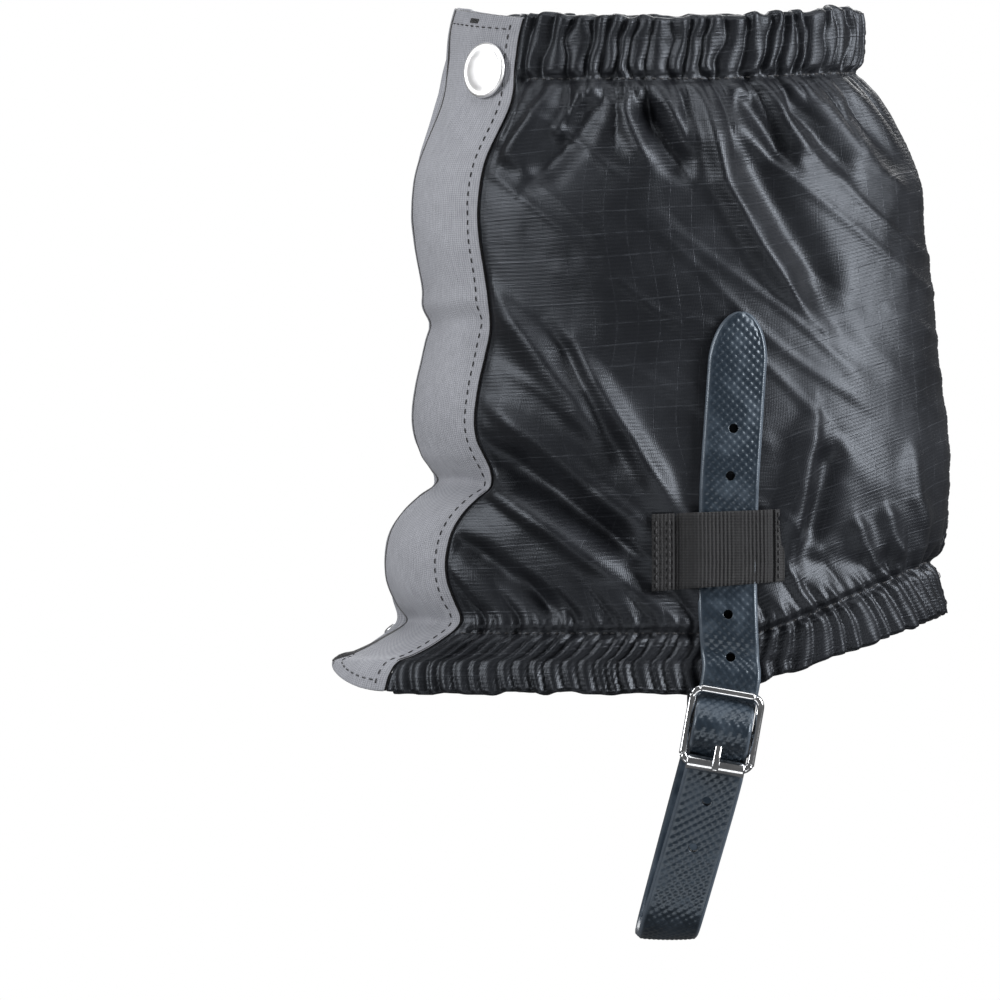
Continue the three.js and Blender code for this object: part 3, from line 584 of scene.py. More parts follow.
# ---- materials ---------------------------------------------------------------------------------
class Nodes:
    """Small helper for one material's node tree."""

    def __init__(self, name, colour, roughness, metallic=0.0, specular=0.5):
        self.material = bpy.data.materials.new(name)
        self.material.use_nodes = True
        self.tree = self.material.node_tree
        self.shader = self.tree.nodes["Principled BSDF"]
        self.shader.inputs["Base Color"].default_value = (*colour, 1)
        self.shader.inputs["Roughness"].default_value = roughness
        self.shader.inputs["Metallic"].default_value = metallic
        self.shader.inputs["Specular IOR Level"].default_value = specular

    def set(self, socket, value):
        if isinstance(value, bpy.types.NodeSocket):
            self.tree.links.new(value, socket)
        else:
            socket.default_value = value

    def math(self, operation, a, b=0.0, c=0.0):
        node = self.tree.nodes.new("ShaderNodeMath")
        node.operation = operation
        for socket, value in zip(node.inputs, (a, b, c)):
            self.set(socket, value)
        return node.outputs[0]

    def remap(self, value, low, high, to_low=0.0, to_high=1.0):
        node = self.tree.nodes.new("ShaderNodeMapRange")
        node.interpolation_type = "SMOOTHSTEP"
        names = ("Value", "From Min", "From Max", "To Min", "To Max")
        for key, number in zip(names, (value, low, high, to_low, to_high)):
            self.set(node.inputs[key], number)
        return node.outputs[0]

    def place(self):
        """The piece's own lay of the cloth in metres: across and along."""
        node = self.tree.nodes.new("ShaderNodeTexCoord")
        split = self.tree.nodes.new("ShaderNodeSeparateXYZ")
        self.tree.links.new(node.outputs["UV"], split.inputs[0])
        return split.outputs["X"], split.outputs["Y"]

    def noise(self, scale, detail=3.0, flat=False, stretch=None):
        coordinates = self.tree.nodes.new("ShaderNodeTexCoord")
        where = coordinates.outputs["UV" if flat else "Object"]
        if stretch is not None:
            mapping = self.tree.nodes.new("ShaderNodeMapping")
            mapping.inputs["Scale"].default_value = stretch
            self.tree.links.new(where, mapping.inputs["Vector"])
            where = mapping.outputs["Vector"]
        node = self.tree.nodes.new("ShaderNodeTexNoise")
        self.tree.links.new(where, node.inputs["Vector"])
        node.inputs["Scale"].default_value = scale
        node.inputs["Detail"].default_value = detail
        return node.outputs["Fac"]

    def lines(self, value, pitch, width):
        """1 on lines a pitch apart, 0 between them."""
        cycle = self.math("PINGPONG", value, pitch / 2)
        return self.remap(cycle, width / 2, 0.0)

    def wave(self, value, pitch):
        turn = self.math("MULTIPLY", value, 2 * math.pi / pitch)
        return self.math("MULTIPLY_ADD", self.math("SINE", turn), 0.5, 0.5)

    def mix(self, factor, a, b):
        node = self.tree.nodes.new("ShaderNodeMix")
        node.data_type = "RGBA"
        self.set(node.inputs[0], factor)
        for socket, colour in ((node.inputs[6], a), (node.inputs[7], b)):
            if isinstance(colour, bpy.types.NodeSocket):
                self.tree.links.new(colour, socket)
            else:
                socket.default_value = (*colour, 1)
        return node.outputs[2]

    def colour(self, value):
        self.tree.links.new(value, self.shader.inputs["Base Color"])

    def rough(self, value):
        self.set(self.shader.inputs["Roughness"], value)

    def bump(self, height, distance, strength=1.0):
        node = self.tree.nodes.new("ShaderNodeBump")
        node.inputs["Strength"].default_value = strength
        node.inputs["Distance"].default_value = distance
        self.tree.links.new(height, node.inputs["Height"])
        self.tree.links.new(node.outputs["Normal"], self.shader.inputs["Normal"])


def ripstop_nylon():
    """Black coated nylon: fine plain weave with a thicker thread every 6.8 mm each way."""
    n = Nodes("ripstop_nylon", (0.004, 0.0043, 0.0056), 0.44, specular=0.44)
    n.shader.inputs["Specular Tint"].default_value = (0.82, 0.89, 1.0, 1)
    u, v = n.place()
    drift = n.math("MULTIPLY", n.math("SUBTRACT", n.noise(18, 2), 0.5), 0.004)
    u = n.math("ADD", u, drift)
    v = n.math("ADD", v, n.math("MULTIPLY_ADD", u, 0.06, drift))
    level_lines = n.lines(v, 0.0068, 0.0007)
    upright_lines = n.lines(u, 0.0068, 0.0006)
    broken = n.remap(n.noise(260, 2, flat=True, stretch=(1, 3, 1)), 0.42, 0.6)
    grid = n.math("MAXIMUM", n.math("MULTIPLY", level_lines, 0.9), n.math("MULTIPLY", upright_lines, 0.45))
    grid = n.math("MULTIPLY", grid, n.math("MULTIPLY_ADD", broken, 0.7, 0.3))
    weave = n.math("MULTIPLY", n.wave(u, 0.00052), n.wave(v, 0.00046))
    rows = n.wave(v, 0.00125)
    dust = n.remap(n.noise(45, 5), 0.35, 0.75)
    base = n.mix(dust, (0.0028, 0.0031, 0.0042), (0.0060, 0.0066, 0.0086))
    base = n.mix(n.math("MULTIPLY", rows, 0.25), base, (0.010, 0.0105, 0.0125))
    n.colour(n.mix(n.math("MULTIPLY", grid, 0.7), base, (0.024, 0.026, 0.031)))
    n.rough(n.math("MULTIPLY_ADD", dust, 0.10, 0.39))
    threads = n.math("MULTIPLY_ADD", rows, 0.25, n.math("MULTIPLY", weave, 0.3))
    n.bump(n.math("MULTIPLY_ADD", grid, 0.6, threads), 0.00012)
    return n.material


def woven(name, low, high, pitch_u, pitch_v, roughness, depth=0.00018, sheen=0.25, patch=40):
    """Plain woven cloth or webbing with its own thread pitches and a soft drift of colour."""
    n = Nodes(name, high, roughness, specular=0.35)
    u, v = n.place()
    ribs = n.wave(u, pitch_u)
    picks = n.wave(v, pitch_v)
    thread = n.math("MULTIPLY_ADD", ribs, 0.65, n.math("MULTIPLY", picks, 0.35))
    drift = n.remap(n.noise(patch, 5), 0.3, 0.75)
    speck = n.noise(900, 2, flat=True, stretch=(1, 0.25, 1))
    uneven = n.math("MULTIPLY_ADD", speck, 0.45, n.math("MULTIPLY", drift, 0.25))
    tone = n.math("MULTIPLY_ADD", thread, 0.45, uneven)
    n.colour(n.mix(tone, low, high))
    n.rough(n.math("MULTIPLY_ADD", drift, 0.12, roughness - 0.06))
    n.bump(n.math("MULTIPLY_ADD", speck, 0.3, thread), depth)
    n.shader.inputs["Sheen Weight"].default_value = sheen
    n.shader.inputs["Sheen Roughness"].default_value = 0.4
    return n.material


def strap_rubber():
    """Graphite coated strap, worn lighter in patches, with a painted highlight along its edges."""
    n = Nodes("strap_rubber", (0.014, 0.027, 0.046), 0.32, specular=0.65)
    n.shader.inputs["Specular Tint"].default_value = (0.80, 0.90, 1.0, 1)
    u, v = n.place()
    # painted highlight: both edges of the strap are mixed towards a lighter colour
    edge = n.remap(n.math("ABSOLUTE", u), 0.0078, 0.0091)
    pits = n.noise(1500, 3)
    scuff = n.remap(n.noise(140, 5), 0.42, 0.7)
    base = n.mix(n.math("MULTIPLY", scuff, 0.6), (0.010, 0.016, 0.024), (0.030, 0.043, 0.060))
    n.colour(n.mix(n.math("MULTIPLY", edge, 0.75), base, (0.075, 0.092, 0.115)))
    n.rough(n.math("MULTIPLY_ADD", scuff, 0.14, 0.30))
    n.bump(n.math("MULTIPLY_ADD", pits, 0.6, n.math("MULTIPLY", n.wave(v, 0.0007), 0.15)), 0.00006)
    return n.material


def metal(name, colour, roughness):
    """Metal with patches of wear and fine scratches."""
    n = Nodes(name, colour, roughness, metallic=1.0)
    wear = n.noise(160, 5)
    fine = n.noise(90, 6, stretch=(1, 1, 14))
    n.colour(n.mix(n.remap(wear, 0.35, 0.8), colour, tuple(c * 0.8 for c in colour)))
    n.rough(n.math("MULTIPLY_ADD", fine, 0.12, roughness))
    n.bump(fine, 0.00001, 0.5)
    return n.material


def plush(name, low, high, pitch):
    """Loop or hook tape: a fine nap of tiny loops."""
    n = Nodes(name, high, 0.95, specular=0.15)
    loops = n.noise(1 / pitch, 2)
    n.colour(n.mix(n.remap(loops, 0.35, 0.65), low, high))
    n.bump(loops, 0.0004)
    n.shader.inputs["Sheen Weight"].default_value = 0.5
    return n.material


SHELL = ripstop_nylon()
STRIP = woven(
    "grey_strip_cloth", (0.11, 0.115, 0.132), (0.40, 0.41, 0.45), 0.0009, 0.0006, 0.62, 0.00016, 0.1, 22
)
SEAM_TAPE = woven("seam_tape", (0.010, 0.010, 0.012), (0.04, 0.04, 0.045), 0.0008, 0.0008, 0.85)
ELASTIC = woven("elastic", (0.02, 0.02, 0.022), (0.07, 0.07, 0.075), 0.0012, 0.0005, 0.9)
WEBBING = woven(
    "ribbed_webbing", (0.003, 0.003, 0.0035), (0.022, 0.0225, 0.025), 0.0011, 0.00048, 0.7, 0.0003, 0.05
)
RUBBER = strap_rubber()
CHROME = metal("chrome", (0.66, 0.67, 0.69), 0.12)
SNAP_METAL = metal("snap_metal", (0.96, 0.96, 0.97), 0.42)
STEEL = metal("steel", (0.60, 0.61, 0.63), 0.30)
THREAD = woven("dark_thread", (0.006, 0.006, 0.007), (0.05, 0.05, 0.055), 0.0004, 0.0004, 0.7)
# near-black piping: painted shadow along the front strip's seam and edges
EDGE_SHADOW_PIPING = woven("painted_edge_shadow", (0.003, 0.003, 0.004), (0.012, 0.012, 0.014), 0.0006, 0.0006, 0.6)
HOOK = plush("hook_tape", (0.010, 0.010, 0.011), (0.06, 0.06, 0.065), 0.0005)
LOOP = plush("loop_tape", (0.012, 0.012, 0.013), (0.09, 0.09, 0.095), 0.0008)


def hand_over(piece, body, slot, *nodes):
    """Puts a piece on a body in place of the CAD nodes named; its slot is not used."""
    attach(piece, body)
    if nodes:
        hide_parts(*nodes)


# ---- fabric pieces -----------------------------------------------------------------------------
CLOTH = 0.5
FACE = 0.6


def cloth_uv(across, level):
    return np.stack([arc(MIDDLE_ARC, across), level], -1)


def grid(low, high, start, end, columns, rows):
    """Grid of across, from low to high, and level, from start to end."""
    return np.meshgrid(np.linspace(low, high, columns), np.linspace(start, end, rows))


def layer(name, place, places, outer, inner, lay, material):
    """Closed sheet between two offsets of one of the gaiter's surfaces, over a grid of across and level."""
    return two_sided(name, place(*places, outer), place(*places, inner), lay(*places), material)


def sewn(name, place, across, level, offset, length=1.9, gap=1.1, radius=0.22):
    """Row of stitches on one of the gaiter's surfaces, along a line of across and level."""
    _, out = shell_at(across, level)
    return stitches(name, place(across, level, offset), out, length, gap, radius)


def panel(name, low, high, columns, rows):
    places = grid(low, high, 0, TOP, columns, rows)
    return layer(name, worn_shell, places, FACE, FACE - CLOTH, cloth_uv, SHELL)


def add_shell():
    lateral = panel("lateral_fabric", 0.002, 0.9965, 250, 262)
    hand_over(lateral, "gaiter", "shell", "lateral_panel")
    medial = panel("medial_fabric", -0.9965, -0.002, 210, 214)
    hand_over(medial, "gaiter", "shell", "medial_panel")


def add_rear_tape():
    places = grid(-0.045, 0.045, 21, 190, 12, 120)
    tape = layer("rear_seam_binding", worn_shell, places, -0.5, -1.0, cloth_uv, SEAM_TAPE)
    hand_over(tape, "gaiter", "seam_tape", "rear_seam_tape")
    level = np.linspace(2, 209, 300)
    for i, side in enumerate((-0.011, 0.011)):
        held = np.full(level.shape, side)
        row = sewn(f"rear_stitching_{i + 1}", worn_shell, held, level, FACE, 2.1, 0.9, 0.15)
        hand_over(row, "gaiter", "shell")


def hem_lining(hem, edge, end):
    """Hem turned in round the edge and laid against the inside of the panels, and the elastic in its fold."""
    away = math.copysign(1, end - edge)
    roll = [(0.0, 0.10), (-0.35, -0.42), (-1.2, -0.62), (-2.1, -0.3), (-2.6, 0.6)]
    path = [(0.1, 1.6)] + roll + [(-2.7, 3.0)]
    depth = [2.2 + 1.0 * t for t in np.linspace(0, 1, 5)]
    path += [(-d, abs(end - edge) * s) for d, s in zip(depth[::-1], (0.3, 0.5, 0.7, 0.9, 1.0))]
    path = rounded(path)
    across = np.linspace(-0.985, 0.985, 420)
    offsets, levels = path[:, 0], edge + away * path[:, 1]
    a, l = np.meshgrid(across, levels)
    o = np.repeat(offsets[:, None], len(across), axis=1)
    held = np.clip(l, 0.0, TOP)
    follow = worn_relief(a, held)
    bare, normal = shell_at(a, held)
    points = bare + normal * (follow + o)[..., None]
    points[..., 2] += l - held
    lift = worn_shell(a, held)[..., 2] - shell_at(a, held)[0][..., 2]
    points[..., 2] += lift
    facing = surface_normals(points)
    outer, inner = points + facing * 0.2, points - facing * 0.2
    lining = two_sided(f"{hem}_hem_lining", outer, inner, cloth_uv(a, l), SHELL)
    hand_over(lining, "gaiter", "shell", f"{hem}_hem_facing")
    band = grid(-0.955, 0.95, edge + away * 3.2, end - away * 2.2, 400, 14)
    elastic = layer(f"{hem}_elastic_band", worn_shell, band, -0.75, -1.45, cloth_uv, ELASTIC)
    hand_over(elastic, "gaiter", "elastic", f"{hem}_elastic")


def add_hems():
    hem_lining("top", TOP, TOP_STITCH - 1)
    hem_lining("bottom", 0.0, LOW_STITCH + 1)
    for name, level in (("top_hem_stitching", TOP_STITCH), ("bottom_hem_stitching", LOW_STITCH)):
        across = np.linspace(-0.98, 0.985, 1400)
        held = np.full(across.shape, level)
        row = sewn(name, worn_shell, across, held, FACE + 0.05, 1.9, 1.0, 0.2)
        hand_over(row, "gaiter", "shell")


def ellipse(half_across, half_out, sides):
    angles = np.linspace(0, 2 * math.pi, sides, endpoint=False)
    return [(half_across * math.cos(a), half_out * math.sin(a)) for a in angles]


# ---- front strip -------------------------------------------------------------------------------
STRIP_FROM = 1.004
STRIP_TO = 1.905


def strip_relief(across, level):
    bare, _ = shell_at(across, level)
    x, z = bare[..., 0], bare[..., 2]
    waves = 0.55 * value_noise(51, across * 1.5 + 9, z / 24) + 0.18 * value_noise(52, across * 4 + 9, z / 9)
    creases = sum(
        fold(x, z, route, height, width)
        for route, height, width in (
            ([(-80, 113), (-58, 116), (-44, 111)], -1.1, 3.0),
            ([(-80, 119), (-60, 122), (-46, 118)], 0.7, 3.2),
            ([(-74, 66), (-62, 66), (-50, 63)], -1.5, 2.6),
            ([(-78, 73), (-62, 73), (-50, 70)], 0.8, 3.4),
            ([(-90, 20), (-76, 22), (-62, 21)], -1.3, 2.8),
            ([(-84, 31), (-72, 30), (-62, 28)], 0.6, 3.4),
            ([(-76, 150), (-66, 146), (-52, 149)], -0.5, 3.4),
        )
    )
    rim = smooth(0.0, 0.10, across - 1.0) * smooth(0, 0.06, 2 - across)
    return (waves + creases) * rim


def front_rise(across, level):
    """The strip's top edge climbs from its seam to its free edge, and the underlap's falls again behind."""
    rise = np.interp(across, [1.0, 2.0, 3.0], [-1.6, 2.2, 0.0])
    return rise * smooth(TOP - 16, TOP, level)


def strip_at(across, level, offset=0.0):
    bare, normal = shell_at(across, level)
    points = bare + normal * (strip_relief(across, level) + offset)[..., None]
    points[..., 2] += front_rise(across, level)
    return points


def strip_uv(across, level):
    return np.stack([(across - 1) * 46, level], -1)


def on_flap(piece):
    """Bakes the piece's transform into its mesh."""
    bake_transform(piece)


HINGE_MIDDLE = shell_at(np.array([1.0]), np.array([105.0]))[0][0]
HINGE_AWAY = shell_at(np.array([1.35]), np.array([105.0]))[0][0]


def add_strip():
    places = grid(STRIP_FROM, STRIP_TO, 0.0, TOP, 86, 420)
    strip = layer("front_strip_cloth", strip_at, places, 1.0, -0.1, strip_uv, STRIP)
    on_flap(strip)
    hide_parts("front_flap")
    rows = {
        "strip_seam_stitching": (np.full(400, 1.085), np.linspace(1.5, 209, 400)),
        "strip_top_stitching": (np.linspace(1.10, 1.83, 90), np.full(90, 207.0)),
        "strip_low_stitching": (np.linspace(1.10, 1.83, 90), np.full(90, 3.2)),
    }
    for name, path in rows.items():
        on_flap(sewn(name, strip_at, *path, 1.0))
    add_strip_edges()
    add_bar_tack()
    add_strip_tapes()


def add_strip_edges():
    """Dark piping laid as painted shadow along the strip's edges: down the seam, and round the strip's free
    edge, top and bottom.
    """
    levels = np.linspace(0.2, TOP - 0.2, 420)
    ends = np.linspace(1.02, STRIP_TO, 120)
    # each run is dark piping laid as painted shadow along one edge of the strip
    runs = {
        "strip_seam_painted_shadow": (np.full(levels.shape, 1.008), levels, 0.5),
        "strip_free_edge_painted_shadow": (np.full(levels.shape, STRIP_TO - 0.068), levels, 2.7),
        "strip_top_painted_shadow": (ends, np.full(ends.shape, TOP - 0.3), 0.45),
        "strip_low_painted_shadow": (ends, np.full(ends.shape, 0.3), 0.45),
    }
    for name, (across, level, radius) in runs.items():
        line = strip_at(across, level, 0.45)
        _, out = shell_at(across, level)
        side = unit(np.cross(np.gradient(line, axis=0), out))
        edge = swept(name, line, side, out, ellipse(radius, min(radius, 0.6), 10), EDGE_SHADOW_PIPING)
        if name == "strip_seam_painted_shadow":
            hand_over(edge, "gaiter", "seam_tape")
        else:
            on_flap(edge)


def add_bar_tack():
    """Dense zigzag of thread across the strip's top corner."""
    steps = 60
    t = np.linspace(0, 1, steps)
    across = 1.40 + 0.10 * t
    level = 208.6 + 0.6 * np.where(np.arange(steps) % 2 == 0, 1, -1)
    line = strip_at(across, level, 1.05)
    _, out = shell_at(across, level)
    ring = ellipse(0.18, 0.18, 8)
    tack = swept("strip_bar_tack", line, np.cross(directions(line), out), out, ring, THREAD)
    on_flap(tack)


def add_strip_tapes():
    places = grid(1.26, 1.85, 22, 178, 20, 120)
    loop = layer("loop_tape_pile", strip_at, places, -0.35, -1.25, strip_uv, LOOP)
    hand_over(loop, "flap", "hook_and_loop", "flap_loop_tape")
    hook = layer("hook_tape_hooks", underlap_at, places, 1.0, 0.3, strip_uv, HOOK)
    hand_over(hook, "gaiter", "hook_and_loop", "underlap_hook_tape")


def underlap_at(across, level, offset):
    """Layer behind the strip: it shows past the strip's free edge, then it meets the inner seam."""
    bare, normal = shell_at(across, level)
    z = bare[..., 2]
    out_of_strip = smooth(1.88, 2.02, across) * (1 - smooth(2.3, 2.9, across))
    behind = -3.0 * (1 - smooth(1.86, 1.98, across)) * smooth(1.0, 1.1, across)
    ripple = 0.35 * value_noise(61, across * 6, z / 8) * (1 - smooth(2.8, 3.0, across))
    shift = behind + underlap_shows(z) * out_of_strip + ripple
    shift += 0.15 * smooth(2.6, 2.95, across) - 0.3 * (1 - smooth(2.0, 2.3, across))
    points = bare + normal * (shift + offset)[..., None]
    points[..., 2] += front_rise(across, level)
    return points


def add_underlap():
    places = grid(1.06, 2.992, 0.0, TOP, 130, 300)
    cloth = layer("underlap_cloth", underlap_at, places, 0.35, -0.45, strip_uv, STRIP)
    hand_over(cloth, "gaiter", "strip", "underlap")
    levels = np.linspace(1.5, 209, 400)
    for name, place in (("underlap_edge_stitching", 1.12), ("underlap_seam_stitching", 2.93)):
        row = sewn(name, underlap_at, np.full(levels.shape, place), levels, 0.35)
        hand_over(row, "gaiter", "strip")


# ---- snap and lace hook --------------------------------------------------------------------------
SNAP_ACROSS = 1.235
SNAP_LEVEL = 193.0


def near_snap(across, up):
    """Point of the strip's face at a place counted from the middle of the snap."""
    return strip_at(np.array([SNAP_ACROSS + across]), np.array([SNAP_LEVEL + up]), 0.4)[0]


def snap_frame():
    out = unit(np.cross(near_snap(0.1, 0) - near_snap(-0.1, 0), near_snap(0, 7) - near_snap(0, -7)))
    return near_snap(0, 0), out if out[1] < 0 else -out


def add_snap():
    at, out = snap_frame()
    cap = [(0, -1.1), (1.8, -1.1), (1.8, 1.0), (7.4, 1.0), (8.3, 1.15), (8.7, 1.55), (8.75, 2.0), (8.5, 2.5)]
    dome = [(8.1, 2.75), (7.5, 2.85), (7.1, 2.7), (6.6, 2.75), (5.6, 3.05), (4.2, 3.3), (2.4, 3.45)]
    socket = [(3, -2.4), (6.0, -2.4), (6.2, -1.8), (5.8, -1.25), (3, -1.25), (3, -2.4)]
    stud = [(0, -3.3), (5.4, -3.3), (5.5, -3.0), (5.2, -2.7), (2.4, -2.6), (2.6, -2.1), (2.4, -1.6)]
    post = [(0, -6.4), (3.8, -6.4), (4.6, -6.2), (4.8, -5.9), (4.6, -5.5), (1.4, -5.4), (1.4, -3.65)]
    for name, profile, metal_used, sides, body, node in (
        ("snap_cap_dome", cap + dome + [(1.0, 3.5), (0, 3.52)], SNAP_METAL, 72, "flap", "snap_cap"),
        ("snap_socket_ring", socket, STEEL, 48, "flap", "snap_socket"),
        ("snap_stud_button", stud + [(1.6, -1.4), (0, -1.35)], STEEL, 48, "gaiter", "snap_stud"),
        ("snap_post_cap", post + [(0, -3.65)], STEEL, 48, "gaiter", "snap_post"),
    ):
        slot = "snap_metal" if metal_used is SNAP_METAL else "steel"
        hand_over(lathe(name, profile, at, out, metal_used, sides), body, slot, node)


HOOK_ORIGIN = np.array([-81.28, 6.05, 21.03])
HOOK_DOWN = np.array([-0.7988, 0, -0.6015])
HOOK_OUT = np.array([-0.6015, 0, 0.7988])
BAR_CORNERS = [(-1, -0.7), (-0.96, -0.93), (-0.85, -1), (0.85, -1), (0.96, -0.93), (1, -0.7)]
BAR_OUTLINE = BAR_CORNERS + [(-x, -y) for x, y in BAR_CORNERS]


def add_lace_hook():
    plate, mouth, width, drop = 1.2, 3.3, 8.0, 2.8
    middle = mouth + plate / 2
    centre = (9.0, -drop - plate - mouth)
    angles = np.linspace(0, math.pi, 22)
    turn = [(centre[0] + middle * math.sin(a), centre[1] + middle * math.cos(a)) for a in angles]
    flat = np.array([(0, -drop - plate / 2), (4.5, -drop - plate / 2)] + turn + [(3.4, centre[1] - middle)])
    centres = HOOK_ORIGIN + flat[:, 0:1] * HOOK_DOWN + flat[:, 1:2] * HOOK_OUT
    way = directions(centres)
    sides = np.repeat([[0.0, 1.0, 0.0]], len(centres), axis=0)
    ups = np.cross(sides, way)
    section = [(x * width / 2, y * plate / 2) for x, y in BAR_OUTLINE]
    hook = swept("lace_hook_bent", centres, sides, ups, section, STEEL)
    at = HOOK_ORIGIN + 3.2 * HOOK_DOWN
    face = underlap_at(np.array([2.28]), np.array([8.0]), 0.35)[0]
    top = float(np.dot(face - at, HOOK_OUT))
    low = -drop - plate - 0.3
    head = [(2.6, top), (2.5, top + 0.45), (1.9, top + 0.8), (1.0, top + 0.95), (0, top + 1.0)]
    shank = [(0, low - 0.8), (1.6, low - 0.75), (2.3, low - 0.5), (2.4, low), (1.2, low), (1.2, top)]
    rivet = lathe("lace_hook_rivet_pin", shank + head, at, HOOK_OUT, STEEL, 40)
    for piece, node in ((hook, "lace_hook"), (rivet, "lace_hook_rivet")):
        hand_over(piece, "gaiter", "steel", node)


# ---- strap -----------------------------------------------------------------------------------------
STRAP_THICK = 2.0
LATTICE = 2.8
TIP_TOP = 118.0
TIP_TAPER = 16.0
STRAP_SPLIT = 41.0
HOLE_R = 1.5
UPPER_HOLES = (52.8, 66.9, 81.6)
LOWER_HOLES = (24.0, 10.4, -33.8, -48.2)
STRAP_HINGE = 57.0
STRAP_FREE = 62.0
STRAP_STEP = 0.4
LOWER_LINE = [
    (-57.2, 17.5), (-57.2, 10), (-58.9, 7.4), (-63.2, 3.2), (-64.1, 0), (-62.5, -3.4), (-57.5, -7.9),
    (-56, -10.8), (-55.5, -14), (-52.5, -24), (-48.5, -38), (-44.5, -50), (-41.5, -56.5), (-36.5, -61.2),
    (-29, -63.6), (-22, -64), (0, -64), (22, -64), (29, -63.6), (36.5, -61.2), (41.5, -56.5), (45, -50),
    (49.5, -38), (54, -24), (56.8, -11), (57.2, -6), (57.2, 5.4), (57.2, 9),
]
BUCKLE_LEAN = math.radians(10)
LOOP_LEAN = math.radians(16)


def strap_lift(h):
    return 2.4 - 1.4 * smooth(20, 31, h)


def lattice(u, v):
    """Raised diamonds on the strap's face, with a plain border that rolls over at the edge."""
    dots = np.abs(np.cos(math.pi * (u + v) / LATTICE) * np.cos(math.pi * (u - v) / LATTICE))
    face = 0.30 * dots * (1 - smooth(7.3, 7.9, np.abs(u)))
    rib = 0.2 * bump(8.2, 0.9, np.abs(u))
    crown = 0.45 * (1 - (u / STRAP_HALF) ** 2)
    roll = -0.55 * smooth(8.5, STRAP_HALF, np.abs(u))
    return face + rib + crown + roll


def strap_sheet(name, centres, sides, outs, halves):
    share = np.linspace(-1, 1, 53)
    run = run_along(centres)
    u = share[None, :] * halves[:, None]
    scaled = share[None, :] * STRAP_HALF * np.ones_like(u)
    v = np.repeat(run[:, None], len(share), axis=1)
    from_edge = halves[:, None] - np.abs(u)
    border = np.where(halves[:, None] < STRAP_HALF - 0.01, np.sign(u) * (STRAP_HALF - from_edge), u)
    raised = lattice(np.where(np.abs(border) > 7.0, border, u), v)
    base = centres[:, None, :] + sides[:, None, :] * u[..., None]
    outer = base + outs[:, None, :] * (STRAP_THICK / 2 + raised)[..., None]
    edge = 0.4 * smooth(8.5, STRAP_HALF, np.abs(scaled))
    inner = base - outs[:, None, :] * (STRAP_THICK / 2 - edge)[..., None]
    return two_sided(name, outer, inner, np.stack([border, v], -1), RUBBER)


def tangent_over_side(x, h, offset):
    return unit(over_side(x + 1, h, offset)[0] - over_side(x - 1, h, offset)[0])


def strap_middle(h):
    """Middle of the strap's width and thickness at a height where it lies on the outer side."""
    return over_side(curve(STRAP_MIDDLE_X, h), h, strap_lift(h) + STRAP_THICK / 2)[0]


def add_strap_end():
    h = np.arange(STRAP_SPLIT + 0.1, TIP_TOP, 0.38)
    left = TIP_TOP - h
    share = np.clip(1 - left / TIP_TAPER, 0, 1)
    halves = np.where(left < TIP_TAPER, STRAP_HALF * np.sqrt(np.maximum(0.001, 1 - share**1.9)), STRAP_HALF)
    x = curve(STRAP_MIDDLE_X, h)
    lift = strap_lift(h) + STRAP_THICK / 2
    centres, outs = over_side(x, h, lift)
    sides = tangent_over_side(x, h, lift)
    strap = strap_sheet("strap_upper_end", centres, sides, outs, halves)
    out = outs[len(outs) // 2]
    punched(strap, [(strap_middle(z), out, HOLE_R) for z in UPPER_HOLES])
    hinge, past = (tuple((strap_middle(z) * MM).tolist()) for z in (STRAP_HINGE, STRAP_FREE))
    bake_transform(strap)
    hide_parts("strap_tip", "strap_middle")


def lower_x(y, height):
    below = min(0.0, height + 16)
    if y > 0:
        return PIVOT[0] + math.tan(LOOP_LEAN - math.radians(1)) * height
    return PIVOT[0] + math.tan(BUCKLE_LEAN) * (height - below) + math.tan(LOOP_LEAN) * below


def add_under_foot_strap():
    high = [STRAP_SPLIT, 37.0, 31.0, 24.0, 17.0, 11.0]
    route = [strap_middle(z) for z in high]
    route += [np.array([lower_x(y, h), y, PIVOT[2] + h]) for y, h in LOWER_LINE]
    centres = spline(route, STRAP_STEP)
    way = directions(centres)
    y, z = centres[:, 1], centres[:, 2]
    near_buckle = (y < 0) & (z > PIVOT[2] - 16)
    leaning = np.where(near_buckle, BUCKLE_LEAN, LOOP_LEAN)
    turn = leaning * smooth(24, 50, np.abs(y)) * np.where(y < 0, 1 - smooth(8, 34, z), 1)
    turn = np.convolve(np.pad(turn, 12, mode="edge"), np.ones(25) / 25, mode="valid")
    sides = np.stack([np.cos(turn), 0 * turn, -np.sin(turn)], -1)
    outs = unit(np.cross(way, sides))
    outs *= 1 if outs[10][1] < 0 else -1
    halves = np.full(len(centres), STRAP_HALF)
    left = np.arange(len(centres))[::-1] * STRAP_STEP
    halves = np.where(left < 5, STRAP_HALF * np.sqrt(np.maximum(0.2, 1 - (1 - left / 5) ** 2)), halves)
    strap = strap_sheet("under_foot_strap", centres, sides, outs, halves)
    holes = []
    for height in LOWER_HOLES + (PIVOT[2] - 4.6,):
        i = int(np.argmin(np.where(y < 0, np.abs(z - height), 1e9)))
        holes.append((centres[i], outs[i], HOLE_R))
    holes.append((RIVET_AT, INNER_SIDE, 1.9))
    punched(strap, holes)
    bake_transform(strap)
    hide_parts("strap_loop")


RIB_PITCH = 1.2


def webbing_patch(name, x, z, lift, thick, side, ribs):
    """Webbing lying over a side of the shell: grids of x and z, and its height above the shell."""
    wave = ribs * np.cos(2 * math.pi * x / RIB_PITCH)
    outer, _ = over_side(x, z, lift + thick + wave, side)
    inner, _ = over_side(x, z, lift, side)
    return two_sided(name, outer, inner, np.stack([x, z], -1), WEBBING)


KEEPER_PROFILE = [
    (-2.8, 0.55), (3.6, 0.6), (5.2, 0.9), (9.2, 3.5), (11, 3.75), (21, 3.85), (30.5, 3.75), (32.3, 3.4),
    (35.4, 0.9), (37.6, 0.55),
]


